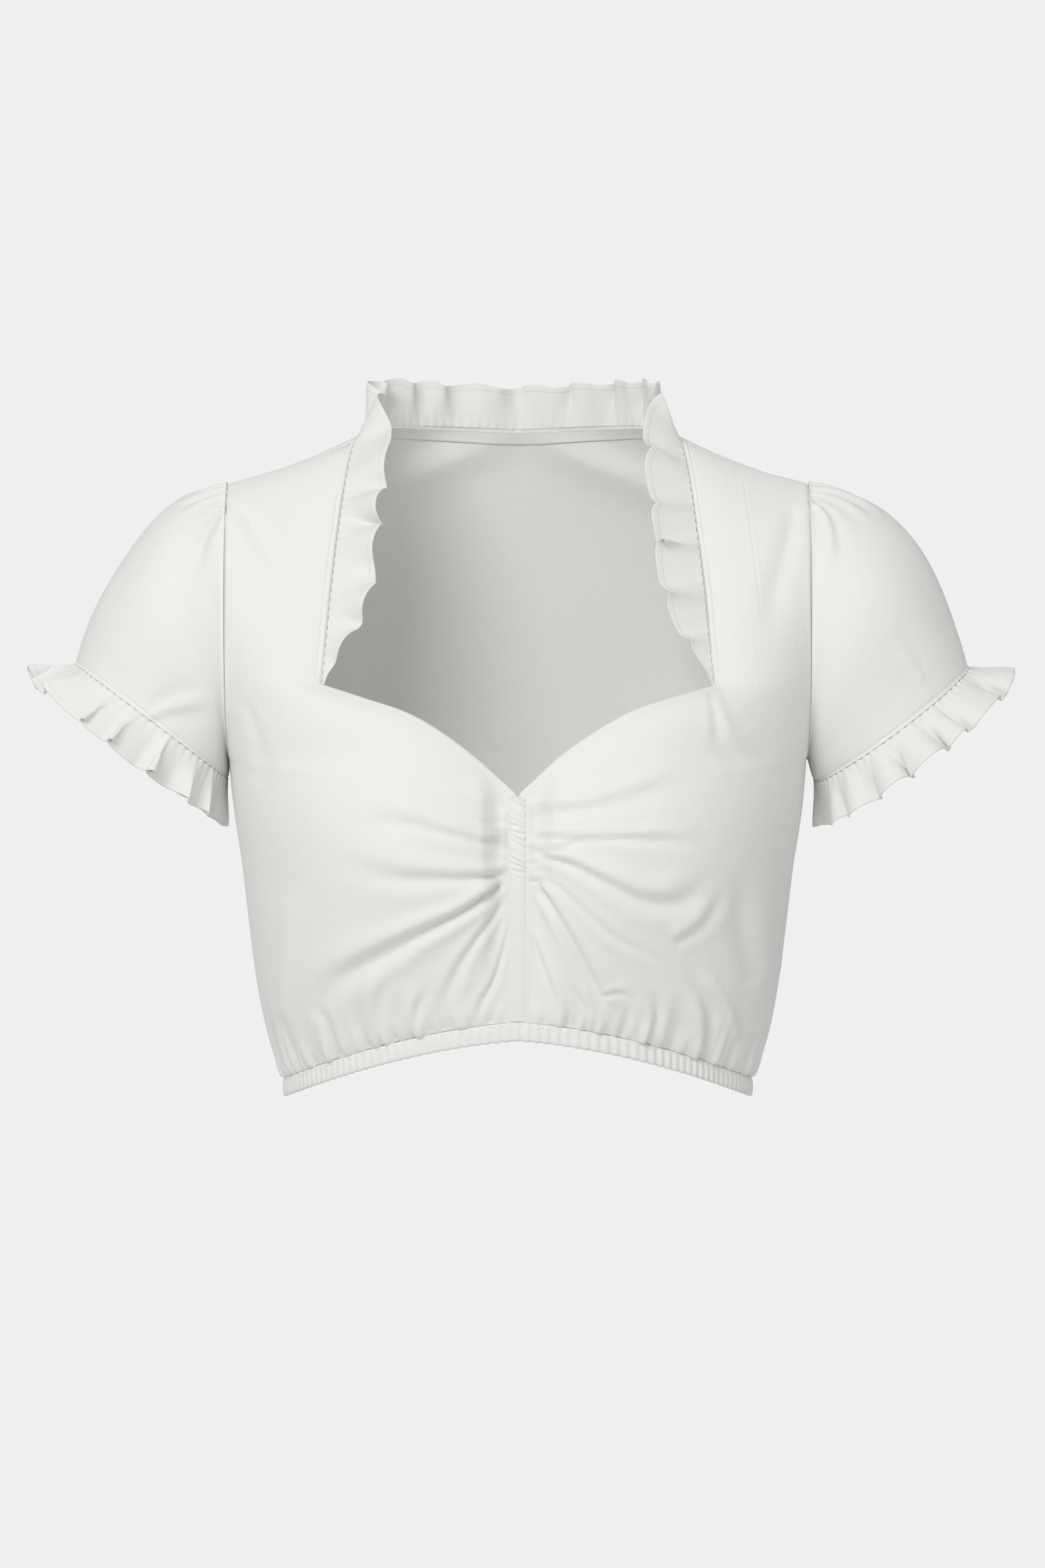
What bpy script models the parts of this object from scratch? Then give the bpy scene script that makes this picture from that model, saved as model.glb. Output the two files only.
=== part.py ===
"""A short dirndl blouse in the hollow shape that it has when worn.

Built in metres with +Z up. X points to the wearer's left and the front faces -Y. The origin lies
midway between the two points where the shoulder seams meet the neckline, where shoulders carry it.
The sizes below are in millimetres.
"""

import math

import bmesh
import bpy
import numpy as np

MM = 0.001

WALL = 1.2  # cloth of the bodice and sleeves
FRILL_WALL = 1.0  # cloth of the gathered frills
SEAM_GAP = 0.3  # between two pieces that are sewn together

HEM_MIDDLE_Y = -6.0  # half way between the hem's front and back
BAND_HEIGHT = 10.4
BAND_WALL = 2.0
BAND_RIBS = 96
BAND_RIB_DEPTH = 0.9

CHANNEL_TOP = -215.2
CHANNEL_BOTTOM = -344.8
CHANNEL_HALF_WIDTH = 4.75
CHANNEL_FLAT = 4.5  # how far beside the channel the cloth lies flat, and over what width it rises
CHANNEL_RISE = 13.0
CHANNEL_GAP = 0.4  # between the channel and the seam under it
CHANNEL_RUCHED_LENGTH = 49.0
CHANNEL_RIDGES = 12
CHANNEL_RIDGE_DEPTH = 0.7
FACING_WIDTH = 9.0
FACING_WALL = 1.0
FACING_GAP = 0.7  # to the back panel
FACING_DROP = 1.8  # below the neckline's edge
FACING_SHARE = 0.38  # share of the neckline from corner to corner

NECK_FRILL_WIDTH = 28.5
NECK_FRILL_WAVES = 22
NECK_FRILL_SWING = 4.8  # height of its waves at the free edge
SLEEVE_FRILL_WIDTH = 27.0
SLEEVE_FRILL_WAVES = 16
SLEEVE_FRILL_SWING = 4.6

HALF_GAP = SEAM_GAP / 2
CORNER_GAP = 0.4  # more room at a panel's corner, where two walls meet at an angle
CORNER_REACH = 0.35  # in sections

# Sections of the right-hand half of each panel, as four points that steer one smooth curve: the
# centre or neckline edge, a point that pulls the cloth out over the bust, a point that pulls it
# round to the side, and the side seam or armhole edge. Each point is (x, y, z).
FRONT_SECTIONS = (
    ((0, -97, -344.5), (77, -98, -350.5), (139.5, -54, -381.5), (139.5, 0, -382)),
    ((0, -101, -327), (84, -113, -334), (149, -62, -357), (149, 0, -358)),
    ((0, -105, -305), (86, -130, -311), (155.3, -70, -327), (155.3, 0, -329)),
    ((0, -109, -281), (83, -148, -284), (160.8, -79, -289), (160.8, 0, -290)),
    ((0, -112, -258), (77, -160, -259), (165, -86, -256), (165, 0, -255)),
    ((0, -113, -236), (74, -163, -235), (170, -90, -226), (169.5, 0, -222)),
    ((0, -112.5, -212.7), (80, -156, -210), (173.5, -86, -200), (172.5, 0, -190.5)),
    ((28, -111, -187), (90, -139, -190), (170, -80, -192), (172.8, -16, -186.5)),
    ((60, -106, -166.5), (103, -125, -171), (163, -80, -182), (173.3, -29, -177)),
    ((90, -96, -155.5), (117, -109, -159), (158, -80, -166), (173.8, -39, -162)),
    ((114.5, -84, -148), (133, -93, -149), (157, -76, -146), (174, -45.5, -143)),
    ((112.5, -72, -121), (131, -80, -123), (156, -70, -121), (174, -49, -119)),
    ((110, -57.5, -89), (129, -64.5, -92), (155, -61, -95), (174, -48.5, -95)),
    ((106.5, -41, -55), (126, -48, -60), (154, -50, -69), (174, -43, -71)),
    ((103, -23, -25.5), (123, -31, -34), (152, -34, -47), (174, -32, -50.5)),
    ((100, -8, -7), (122, -13, -17), (150, -16, -29), (174.2, -16, -34)),
    ((98, 4, 0), (123.5, 4, -12), (149, 4, -19), (174.5, 4, -25.6)),
    ((97.5, 18, -3), (123, 22, -16), (149, 24, -27), (174.3, 23, -36)),
)
FRONT_NECK_POINT = 6  # the section at the bottom of the neckline
FRONT_CORNER = 10  # the section at the neckline's upper corner
FRONT_UNDERARM = 6

BACK_SECTIONS = (
    ((0, 84, -344.5), (77, 84, -350.5), (139.5, 46, -381.5), (139.5, 0, -382)),
    ((0, 89, -322), (83, 89, -331), (149, 51, -357), (149, 0, -358)),
    ((0, 92, -292), (87, 92, -299), (155.3, 54, -328), (155.3, 0, -329)),
    ((0, 94, -258), (90, 94, -262), (160.8, 58, -290), (160.8, 0, -290)),
    ((0, 97, -224), (93, 97, -227), (165, 61, -256), (165, 0, -255)),
    ((0, 100, -190), (96, 100, -192), (170, 64, -226), (169.5, 0, -222)),
    ((0, 103, -156), (97, 104, -158), (173.5, 66, -198), (172.5, 0, -190.5)),
    ((0, 105, -124), (92, 107, -130), (169, 72, -178), (173.2, 22, -184)),
    ((0, 105, -92), (86, 108, -103), (164, 79, -148), (174, 39, -162)),
    ((0, 103.5, -62), (80, 107, -78), (160, 80, -116), (174, 48.5, -134)),
    ((0, 100, -34), (72, 104, -56), (156, 76, -92), (174, 50.5, -106)),
    ((0, 94.5, -8), (62, 99.5, -34), (152, 68, -72), (174, 47, -80)),
    ((0, 86, 12), (48, 93, -14), (147, 56, -52), (174, 38, -58)),
    ((44, 79, 13.5), (72, 83, -8), (144, 42, -37), (174.2, 27, -42)),
    ((77, 55, 12), (100, 55, -4), (145, 27, -27), (174.4, 15, -31)),
    ((93, 27, 6.5), (114, 27, -7), (147, 15, -21), (174.5, 9, -27)),
    ((98, 4, 0), (123.5, 4, -12), (149, 4, -19), (174.5, 4, -25.6)),
    ((100, -9, -5), (122, -10, -15), (150, -10, -24), (174.4, -5, -28)),
)
BACK_NECK_CENTRE = 12
BACK_UNDERARM = 6
SHOULDER_SECTION = 16  # the last real section of both panels; the one after it only sets the slope

# The largest creases of each front, as seen from the front: start, bend and end as (x, z) away
# from the centre line, then half width and height. A negative height is a trough.
CREASES = {
    "right": (
        ((115, -242), (59, -235), (6, -240), 9.0, -4.0),
        ((119, -257), (70, -298), (9, -256), 10.0, -4.2),
        ((11, -263), (40, -296), (62, -342), 11.5, -4.6),
        ((13, -261), (60, -290), (122, -322), 11.5, -3.6),
    ),
    "left": (
        ((101, -231), (60, -223), (10, -241), 9.0, -3.6),
        ((110, -250), (68, -270), (5, -254), 9.5, -3.8),
        ((1, -263), (85, -297), (118, -343), 12.0, -6.0),
        ((5, -269), (35, -298), (60, -342), 9.5, -3.6),
    ),
}

# Gathers that rise from the elastic, as a number of waves over a half front or half back.
FRONT_GATHERS = 7
BACK_GATHERS = 6
GATHER_HEIGHT = 38.0
GATHER_DEPTH = 2.6

# Each sleeve from armhole to hem, at the top, front, underarm and back: the pull away from the
# armhole and the pull back from the hem, each as (x, y, z). Then the centre of its opening, and
# how much further down the arm the front of the opening reaches.
SLEEVES = {
    "left": {
        "top": ((55, 0, -1), (-14, 0, 55)),
        "front": ((32, -19, -10), (-18, -5, 34)),
        "under": ((3, 0, 0), (-1, 0, 5)),
        "back": ((32, 21, -8), (-18, 6, 34)),
        "centre": (224.0, 2.0, -170.0),
        "dip": 4.5,
    },
    "right": {
        "top": ((46, 0, -5), (-14, 0, 50)),
        "front": ((31, -18, -10), (-18, -5, 32)),
        "under": ((3, 0, 0), (-1, 0, 5)),
        "back": ((32, 21, -8), (-18, 6, 34)),
        "centre": (220.0, 2.0, -168.5),
        "dip": -2.0,
    },
}
SLEEVE_HEM_RISE = (45.5, 0.0, 34.2)  # from the centre of the opening to its top
SLEEVE_HEM_DEPTH = 50.0
SLEEVE_PARTS = ("top", "front", "under", "back")
SLEEVE_PLEATS = 10
SLEEVE_PLEAT_DEPTH = 2.8
SLEEVE_PLEAT_LENGTH = 0.34  # share of the sleeve's length over which the pleats fade
SLEEVE_HEAD = 0.17  # the pleats reach this share of the way round from the top, to both sides
SLEEVE_PUFF = 1.25
FRILL_FLARE = {"top": 0.72, "front": 0.45, "under": 0.62, "back": 0.5}

FRONT_COLUMNS = 24
BACK_COLUMNS = 14  # of one half
SLEEVE_COLUMNS = 48
SLEEVE_ROWS = 6

COTTON = (0.83, 0.84, 0.80, 1.0)
FRILL_COTTON = (0.82, 0.83, 0.79, 1.0)
BAND_COTTON = (0.81, 0.82, 0.78, 1.0)
COTTON_ROUGHNESS = 0.85


def spline(points, at, corners=()):
    """Smooth curve through points at 0, 1, 2 and so on. At an index in corners it turns sharply."""
    points = np.asarray(points, float)
    last = len(points) - 1
    leaving = np.empty_like(points)
    leaving[1:last] = (points[2:] - points[:-2]) / 2
    leaving[0] = points[1] - points[0]
    leaving[last] = points[last] - points[last - 1]
    arriving = leaving.copy()
    for corner in corners:
        arriving[corner] = points[corner] - points[corner - 1]
        leaving[corner] = points[corner + 1] - points[corner]
    at = np.asarray(at, float)
    start = np.clip(np.floor(at).astype(int), 0, last - 1)
    f = (at - start)[:, None]
    return (
        points[start] * (2 * f**3 - 3 * f**2 + 1)
        + leaving[start] * (f**3 - 2 * f**2 + f)
        + points[start + 1] * (3 * f**2 - 2 * f**3)
        + arriving[start + 1] * (f**3 - f**2)
    )


def bezier(points, t):
    """Point at t on the curve steered by four points, each an array of rows."""
    t = t[:, None]
    a, b, c, d = points
    return a * (1 - t) ** 3 + 3 * b * (1 - t) ** 2 * t + 3 * c * (1 - t) * t**2 + d * t**3


def ease(x):
    """0 below 0 and 1 above 1, with a smooth rise between."""
    x = np.clip(x, 0.0, 1.0)
    return x * x * (3 - 2 * x)


def unit(vectors):
    return vectors / np.maximum(np.linalg.norm(vectors, axis=1, keepdims=True), 1e-9)


def steering(sections, v, inner_corners, outer_corners):
    """The four steering points of a panel at height v."""
    columns = np.swapaxes(np.array(sections, float), 0, 1)
    return (
        spline(columns[0], v, inner_corners),
        spline(columns[1], v),
        spline(columns[2], v),
        spline(columns[3], v, outer_corners),
    )


def front_smooth(u, v):
    """Left front without creases, u from the centre or neckline out to the side, v upwards."""
    points = steering(
        FRONT_SECTIONS, v, (FRONT_NECK_POINT, FRONT_CORNER), (FRONT_UNDERARM,)
    )
    place = bezier(points, u)
    # Under the channel the cloth lies flat across the centre line.
    flat = 1 - ease((place[:, 0] - CHANNEL_HALF_WIDTH - CHANNEL_FLAT) / CHANNEL_RISE)
    flat *= 1 - ease(v - FRONT_NECK_POINT)
    place[:, 1] += (points[0][:, 1] - place[:, 1]) * flat
    return place


def back_smooth(u, v):
    """Left half of the back without gathers, u from the centre or neckline out to the side."""
    return bezier(steering(BACK_SECTIONS, v, (BACK_NECK_CENTRE,), (BACK_UNDERARM,)), u)


def normals(surface, u, v, turn=1.0):
    """The way out of a panel's cloth at each place."""
    step = 1e-3
    across = surface(u + step, v) - surface(u - step, v)
    along = surface(u, np.minimum(v + step, SHOULDER_SECTION)) - surface(
        u, np.maximum(v - step, 0)
    )
    return unit(np.cross(across, along)) * turn


def crease_height(place, creases):
    """Height of all creases at each place, as seen from the front."""
    seen = place[:, [0, 2]]
    height = np.zeros(len(place))
    t = np.linspace(0, 1, 33)
    for start, bend, end, half_width, depth in creases:
        line = (
            np.outer((1 - t) ** 2, start)
            + np.outer(2 * t * (1 - t), bend)
            + np.outer(t**2, end)
        )
        away = np.linalg.norm(seen[:, None, :] - line[None], axis=2)
        nearest = away.argmin(axis=1)
        along = t[nearest]
        fade = ease(along / 0.2) * ease((1 - along) / 0.25)
        height += depth * (0.25 + 0.75 * fade) * np.exp(
            -((away.min(axis=1) / half_width) ** 2)
        )
    return height


def gather_height(u, v, place, sections, waves):
    """Soft folds that the elastic draws up, of uneven width and length."""
    hem = steering(sections, v * 0, (), ())
    rise = place[:, 2] - bezier(hem, u)[:, 2]
    phase = 2 * math.pi * (waves * u + 0.35 * np.sin(7.3 * u + 1.1))
    length = GATHER_HEIGHT * (1 + 0.45 * np.sin(11 * u + 0.6))
    uneven = 0.75 + 0.35 * np.sin(17 * u + 2.0)
    return GATHER_DEPTH * uneven * np.cos(phase) * np.exp(-((rise / length) ** 2))


def front(u, v, side):
    """The left or right front with its creases, in the place of the left one."""
    place = front_smooth(u, v)
    height = crease_height(place, CREASES[side])
    height += gather_height(u, v, place, FRONT_SECTIONS, FRONT_GATHERS) * ease(v / 0.5)
    clear_of_channel = ease((place[:, 0] - CHANNEL_HALF_WIDTH) / 7)
    near_side = ease((1 - u) / 0.06)
    height *= clear_of_channel * near_side
    return place + normals(front_smooth, u, v) * height[:, None]


def back(u, v):
    place = back_smooth(u, v)
    height = gather_height(u, v, place, BACK_SECTIONS, BACK_GATHERS) * ease(v / 0.5)
    height *= ease((1 - u) / 0.06)
    return place + normals(back_smooth, u, v, -1.0) * height[:, None]


def armhole_rim(samples=240):
    """Closed line of the left armhole from the shoulder, down the front, up the back."""
    down = np.linspace(SHOULDER_SECTION, FRONT_UNDERARM, samples)
    up = np.linspace(BACK_UNDERARM, SHOULDER_SECTION, samples)
    front_edge = front_smooth(np.ones(samples), down)
    back_edge = back_smooth(np.ones(samples), up)
    return np.vstack([front_edge, back_edge[1:]])


def even(line, at):
    """Points at shares of a line's length."""
    along = np.concatenate(
        [[0], np.cumsum(np.linalg.norm(np.diff(line, axis=0), axis=1))]
    )
    return np.stack(
        [np.interp(at * along[-1], along, line[:, k]) for k in range(3)], axis=1
    )


def round_sleeve(values, q):
    """Smooth value round the sleeve from those at the top, front, underarm and back."""
    top, fore, under, rear = (
        np.atleast_1d(np.array(values[k], float))
        for k in SLEEVE_PARTS
    )
    turn = 2 * math.pi * q[:, None]
    return (
        (top + fore + under + rear) / 4
        + (top - under) / 2 * np.cos(turn)
        + (fore - rear) / 2 * np.sin(turn)
        + (top - fore + under - rear) / 4 * np.cos(2 * turn)
    )


def sleeve_hem(q, side):
    """Rim of a sleeve's opening; q runs from the top over the front to the underarm."""
    turn = 2 * math.pi * q[:, None]
    rise = np.array(SLEEVE_HEM_RISE)
    down_arm = sleeve_axis()
    return (
        np.array(SLEEVES[side]["centre"])
        + rise * np.cos(turn)
        + np.array([0, -SLEEVE_HEM_DEPTH, 0]) * np.sin(turn)
        + down_arm * SLEEVES[side]["dip"] * np.sin(turn)
    )


def sleeve_axis():
    """The way the arm would point where it leaves the sleeve."""
    rise = np.array(SLEEVE_HEM_RISE)
    across = np.array([rise[2], 0.0, -rise[0]])
    return across / np.linalg.norm(across)


def sleeve_smooth(q, t, side):
    rim = even(armhole_rim(), np.mod(q, 1.0))
    hem = sleeve_hem(q, side)
    under = 0.5 - 0.5 * np.cos(2 * math.pi * q)
    rim[:, 0] += SEAM_GAP + WALL * (0.35 + 0.65 * under**4)
    pull_out, pull_back = (
        round_sleeve({part: SLEEVES[side][part][end] for part in SLEEVE_PARTS}, q) for end in (0, 1)
    )
    return bezier((rim, rim + pull_out, hem + pull_back, hem), t)


def sleeve(q, t, side):
    """A sleeve with the pleats at its head; t runs from the armhole to the hem."""
    place = sleeve_smooth(q, t, side)
    step = 1e-3
    around = sleeve_smooth(q + step, t, side) - sleeve_smooth(q - step, t, side)
    along = sleeve_smooth(q, t + step, side) - sleeve_smooth(q, t - step, side)
    out = unit(np.cross(along, around))
    from_top = np.minimum(q, 1 - q)
    head = 1 - ease((from_top - SLEEVE_HEAD + 0.04) / 0.05)
    fade = ease(t / 0.08) * np.exp(-((t / SLEEVE_PLEAT_LENGTH) ** 2))
    waves = np.cos(math.pi * from_top * SLEEVE_PLEATS / SLEEVE_HEAD)
    puff = SLEEVE_PUFF * np.sin(math.pi * np.clip(t, 0, 1)) * np.cos(6 * math.pi * q)
    height = SLEEVE_PLEAT_DEPTH * waves * head * fade + puff * (1 - head)
    return place + out * height[:, None]


def frill_phase(s, waves, warp):
    """Phase of a frill's waves, which are wider in some places than in others."""
    return 2 * math.pi * (
        waves * s + warp * np.sin(2 * math.pi * 3 * s + 0.8) + warp * np.sin(2 * math.pi * 5 * s)
    )


def sleeve_frill(q, t, side):
    """A sleeve's frill; t runs from the seam to the free edge."""
    flare = round_sleeve(FRILL_FLARE, q)
    hem = sleeve_hem(q, side)
    outward = unit(hem - np.array(SLEEVES[side]["centre"]))
    outward = unit(outward - np.outer(outward @ sleeve_axis(), sleeve_axis()))
    run = unit(sleeve_axis() + outward * flare)
    lift = unit(outward - run * (outward * run).sum(axis=1, keepdims=True))
    phase = frill_phase(q, SLEEVE_FRILL_WAVES, 0.16)
    under = 0.5 - 0.5 * np.cos(2 * math.pi * q)
    uneven = 0.8 + 0.3 * np.sin(2 * math.pi * 4 * q + 1.0)
    swing = SLEEVE_FRILL_SWING * (1 - 0.6 * under**6) * uneven
    grow = (0.12 + 0.88 * ease(t * 0.9 + 0.1)) * ease(t / 0.3 + 0.35)
    reach = SEAM_GAP + FRILL_WALL * 0.6 + SLEEVE_FRILL_WIDTH * t
    return (
        hem
        + run * reach[:, None]
        + lift * (swing * grow * np.cos(phase))[:, None]
    )


def neck_edge(s):
    """Neckline from the right corner over the back to the left corner, with three directions.

    It gives the edge, the way the panel's cloth would go on past its edge, and the way out of it.
    """
    corner_to_shoulder = np.linspace(FRONT_CORNER, SHOULDER_SECTION, 80)
    shoulder_to_centre = np.linspace(SHOULDER_SECTION, BACK_NECK_CENTRE, 80)
    zeros = np.zeros(80)
    step = zeros + 0.004
    edge = np.vstack(
        [
            front_smooth(zeros, corner_to_shoulder),
            back_smooth(zeros, shoulder_to_centre)[1:],
        ]
    )
    out = np.vstack(
        [
            normals(front_smooth, step, corner_to_shoulder),
            normals(back_smooth, step, shoulder_to_centre, -1.0)[1:],
        ]
    )
    mirror = np.array([-1.0, 1.0, 1.0])
    out[-1, 0] = 0.0
    edge = np.vstack([edge * mirror, edge[-2::-1]])
    out = unit(np.vstack([out * mirror, out[-2::-1]]))
    along = np.concatenate(
        [[0], np.cumsum(np.linalg.norm(np.diff(edge, axis=0), axis=1))]
    )
    along /= along[-1]
    tangent = unit(np.gradient(edge, along, axis=0))
    # Averages over a short stretch, so that the frill turns smoothly past the shoulder seam.
    kernel = np.hanning(17)
    kernel /= kernel.sum()

    def softened(values):
        padded = np.vstack([values[:1]] * 8 + [values] + [values[-1:]] * 8)
        return np.stack(
            [np.convolve(padded[:, k], kernel, mode="valid") for k in range(3)], axis=1
        )

    tangent, out = unit(softened(tangent)), unit(softened(out))

    def at(values):
        return np.stack([np.interp(s, along, values[:, k]) for k in range(3)], axis=1)

    ahead = unit(np.cross(at(tangent), at(out)))
    return at(edge), ahead, at(out)


def neck_frill(s, t):
    """Neck frill from the right front corner round the back to the left one."""
    edge, ahead, out = neck_edge(s)
    half = np.minimum(s, 1 - s) * 2
    inward = np.stack([-np.sign(edge[:, 0]), 0 * s, 0 * s], axis=1)
    up = np.array([0.0, 0.0, 1.0])
    forward = np.array([0.0, -1.0, 0.0])
    # It lies towards the centre on the fronts, leans in at the shoulders, stands at the back.
    rising = ease((half - 0.36) / 0.26)[:, None]
    standing = ease((half - 0.52) / 0.26)[:, None]
    lying = unit(inward + forward * 0.6 + up * 0.05)
    leaning = unit(inward * 0.45 + up * 0.9)
    run = unit(lying * (1 - rising) + leaning * rising * (1 - standing) + up * standing)
    lift = unit(out - run * (out * run).sum(axis=1, keepdims=True))
    along = unit(np.cross(run, lift))
    # The frill narrows to nothing at the two front corners.
    width = NECK_FRILL_WIDTH * (0.08 + 0.92 * ease(half / 0.2) ** 0.8)
    width *= 1 - 0.08 * ease((half - 0.6) / 0.3)
    phase = frill_phase(s, NECK_FRILL_WAVES, 0.1)
    swing = NECK_FRILL_SWING * (0.8 + 0.3 * np.sin(2 * math.pi * 3 * s)) * ease(half / 0.16)
    grow = (0.12 + 0.88 * ease(t)) * ease(t / 0.3 + 0.3)
    base = edge + ahead * (SEAM_GAP + FRILL_WALL / 2 + 0.5)
    return (
        base
        + run * (width * t)[:, None]
        + lift * (swing * grow * np.cos(phase))[:, None]
        + along * (swing * grow * 0.45 * np.cos(phase + 0.9))[:, None]
    )


def seam_shift(normal_part, v, corner):
    """How far a panel's edge stays from the seam's plane, so that its walls clear the other's."""
    at_corner = np.exp(-(((v - corner) / CORNER_REACH) ** 2))
    return HALF_GAP + CORNER_GAP * (0.2 + at_corner) + np.abs(normal_part) * WALL / 2


def on_back(places, away):
    """Places moved onto the back panel, then away from it by a distance, inwards if negative."""
    u, v = np.meshgrid(np.linspace(0.004, 0.5, 70), np.linspace(9, 15.98, 120))
    u, v = u.ravel(), v.ravel()
    base, out = back_smooth(u, v), normals(back_smooth, u, v, -1.0)
    mirror = np.array([-1.0, 1.0, 1.0])
    base, out = np.vstack([base, base * mirror]), np.vstack([out, out * mirror])
    result = np.empty_like(places)
    for row, place in enumerate(places):
        distance = np.linalg.norm(base - place, axis=1)
        near = np.argpartition(distance, 8)[:8]
        weight = 1 / (distance[near] + 0.5) ** 2
        weight /= weight.sum()
        normal = (out[near] * weight[:, None]).sum(axis=0)
        normal /= np.linalg.norm(normal)
        height = ((place - base[near]) @ normal * weight).sum()
        result[row] = place + normal * (away - height)
    return result


def cloth(name, colour, surface, columns, rows, wall, mirror_x=1.0, mirrored=False):
    """A sheet laid over a surface of (u, w) and given a wall. mirror_x=-1 puts it on the right."""
    bm = bmesh.new()
    bmesh.ops.create_grid(bm, x_segments=columns, y_segments=rows, size=0.5)
    flat = np.array([v.co for v in bm.verts]) + 0.5
    places = surface(flat[:, 0], flat[:, 1]) * MM
    places[:, 0] *= mirror_x
    for vert, place in zip(bm.verts, places):
        vert.co = place
    bmesh.ops.remove_doubles(bm, verts=bm.verts, dist=1e-6)
    obj = object_from(name, bm, colour)
    if mirrored:
        other_half = obj.modifiers.new("Other half", "MIRROR")
        other_half.use_axis[0] = True
        other_half.merge_threshold = 1e-5
    solid = obj.modifiers.new("Wall", "SOLIDIFY")
    solid.thickness = wall * MM
    solid.offset = 0.0
    solid.use_quality_normals = True
    return obj


def object_from(name, bm, colour):
    mesh = bpy.data.meshes.new(name)
    bm.to_mesh(mesh)
    bm.free()
    mesh.shade_smooth()
    mesh.materials.append(matt_cotton(name + "_cotton", colour))
    obj = bpy.data.objects.new(name, mesh)
    blouse.objects.link(obj)
    return obj


def matt_cotton(name, colour):
    material = bpy.data.materials.new(name)
    material.use_nodes = True
    shader = material.node_tree.nodes["Principled BSDF"]
    shader.inputs["Base Color"].default_value = colour
    shader.inputs["Roughness"].default_value = COTTON_ROUGHNESS
    shader.inputs["Metallic"].default_value = 0.0
    return material


def stretch(w, stations):
    """Height on a panel for a share w of its mesh rows, given the height of each row."""
    return np.interp(w, np.linspace(0, 1, len(stations)), stations)


def row_heights(per_section):
    """Heights of the mesh rows, with a chosen number of rows in each section."""
    heights = [0.0]
    for section, count in enumerate(per_section):
        heights += [section + (k + 1) / count for k in range(count)]
    return heights


FRONT_ROWS = row_heights((2,) + (3,) * 4 + (2,) * 2 + (1,) * 9)
BACK_ROWS = row_heights((1,) * 12 + (3, 3, 2, 2))


def make_front(side, mirror_x):
    def surface(u, w):
        v = stretch(w, FRONT_ROWS)
        place = front(u, v, side)
        shift = seam_shift(normals(front_smooth, u, v), v[:, None], FRONT_UNDERARM)
        place[:, 0] += shift[:, 0] * (u < 1e-6) * (v < FRONT_NECK_POINT + 1e-6)
        place[:, 1] -= shift[:, 1] * (u > 0.999) * (v < FRONT_UNDERARM + 1e-6)
        place[:, 1] -= shift[:, 1] * (v > SHOULDER_SECTION - 1e-6)
        return place

    rows = len(FRONT_ROWS) - 1
    return cloth("front_" + side, COTTON, surface, FRONT_COLUMNS, rows, WALL, mirror_x)


def make_back():
    """One panel: a half is laid out and mirrored, so that it parts above the centre back neck."""

    def surface(u, w):
        v = stretch(w, BACK_ROWS)
        place = back(u, v)
        shift = seam_shift(normals(back_smooth, u, v)[:, 1], v, BACK_UNDERARM)
        place[:, 1] += shift * (u > 0.999) * (v < BACK_UNDERARM + 1e-6)
        place[:, 1] += shift * (v > SHOULDER_SECTION - 1e-6)
        place[:, 0] *= (u > 1e-6) | (v > BACK_NECK_CENTRE + 1e-6)
        return place

    return cloth("back", COTTON, surface, BACK_COLUMNS, len(BACK_ROWS) - 1, WALL, mirrored=True)


def make_sleeve(side, mirror_x):
    def surface(u, w):
        # The columns lie closer together at the head, where the pleats are.
        q = np.mod(u - 0.1 * np.sin(2 * math.pi * u), 1.0)
        return sleeve(q, w, side)

    return cloth("sleeve_" + side, COTTON, surface, SLEEVE_COLUMNS, SLEEVE_ROWS, WALL, mirror_x)


def make_sleeve_frill(side, mirror_x):
    def surface(u, w):
        return sleeve_frill(np.mod(u, 1.0), w, side)

    name = "sleeve_frill_" + side
    columns = SLEEVE_FRILL_WAVES * 4
    return cloth(name, FRILL_COTTON, surface, columns, 2, FRILL_WALL, mirror_x)


def make_neck_frill():
    columns = NECK_FRILL_WAVES * 5
    return cloth("neck_frill", FRILL_COTTON, neck_frill, columns, 2, FRILL_WALL)


def make_facing():
    """The band that finishes the inside of the back neck."""

    def surface(u, w):
        edge, ahead, out = neck_edge(0.5 + (u - 0.5) * FACING_SHARE)
        below = edge - ahead * (FACING_DROP + FACING_WIDTH * w)[:, None]
        return on_back(below, -(WALL / 2 + FACING_GAP + FACING_WALL / 2))

    return cloth("back_neck_facing", COTTON, surface, 28, 1, FACING_WALL)


def make_channel():
    """The gathered strip over the centre front seam, ruched in its upper part."""

    def surface(u, w):
        z = CHANNEL_BOTTOM + (CHANNEL_TOP - CHANNEL_BOTTOM) * w
        heights = np.linspace(0, FRONT_NECK_POINT, 200)
        centre = front_smooth(np.zeros(200), heights)
        y = np.interp(z, centre[:, 2], centre[:, 1])
        ruched = ease((z - CHANNEL_TOP + CHANNEL_RUCHED_LENGTH) / 4)
        ridges = 0.5 + 0.5 * np.cos(
            2 * math.pi * CHANNEL_RIDGES * (CHANNEL_TOP - z) / CHANNEL_RUCHED_LENGTH
        )
        raised = CHANNEL_RIDGE_DEPTH * ridges * ruched
        x = (u - 0.5) * 2 * (CHANNEL_HALF_WIDTH - CHANNEL_GAP)
        return np.stack([x, y - WALL - CHANNEL_GAP - raised, z], axis=1)

    return cloth("front_channel", COTTON, surface, 2, 40, WALL)


def hem_line(u):
    """The lower edge of the panels, with u running round it from the centre front."""
    quarter = (u * 4) % 2
    t = np.where(quarter > 1, 2 - quarter, quarter)
    is_front = (u < 0.25) | (u > 0.75)
    front_line = bezier(steering(FRONT_SECTIONS, t * 0, (), ()), t)
    back_line = bezier(steering(BACK_SECTIONS, t * 0, (), ()), t)
    line = np.where(is_front[:, None], front_line, back_line)
    line[:, 0] *= np.where(u < 0.5, 1, -1)
    return line


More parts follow.
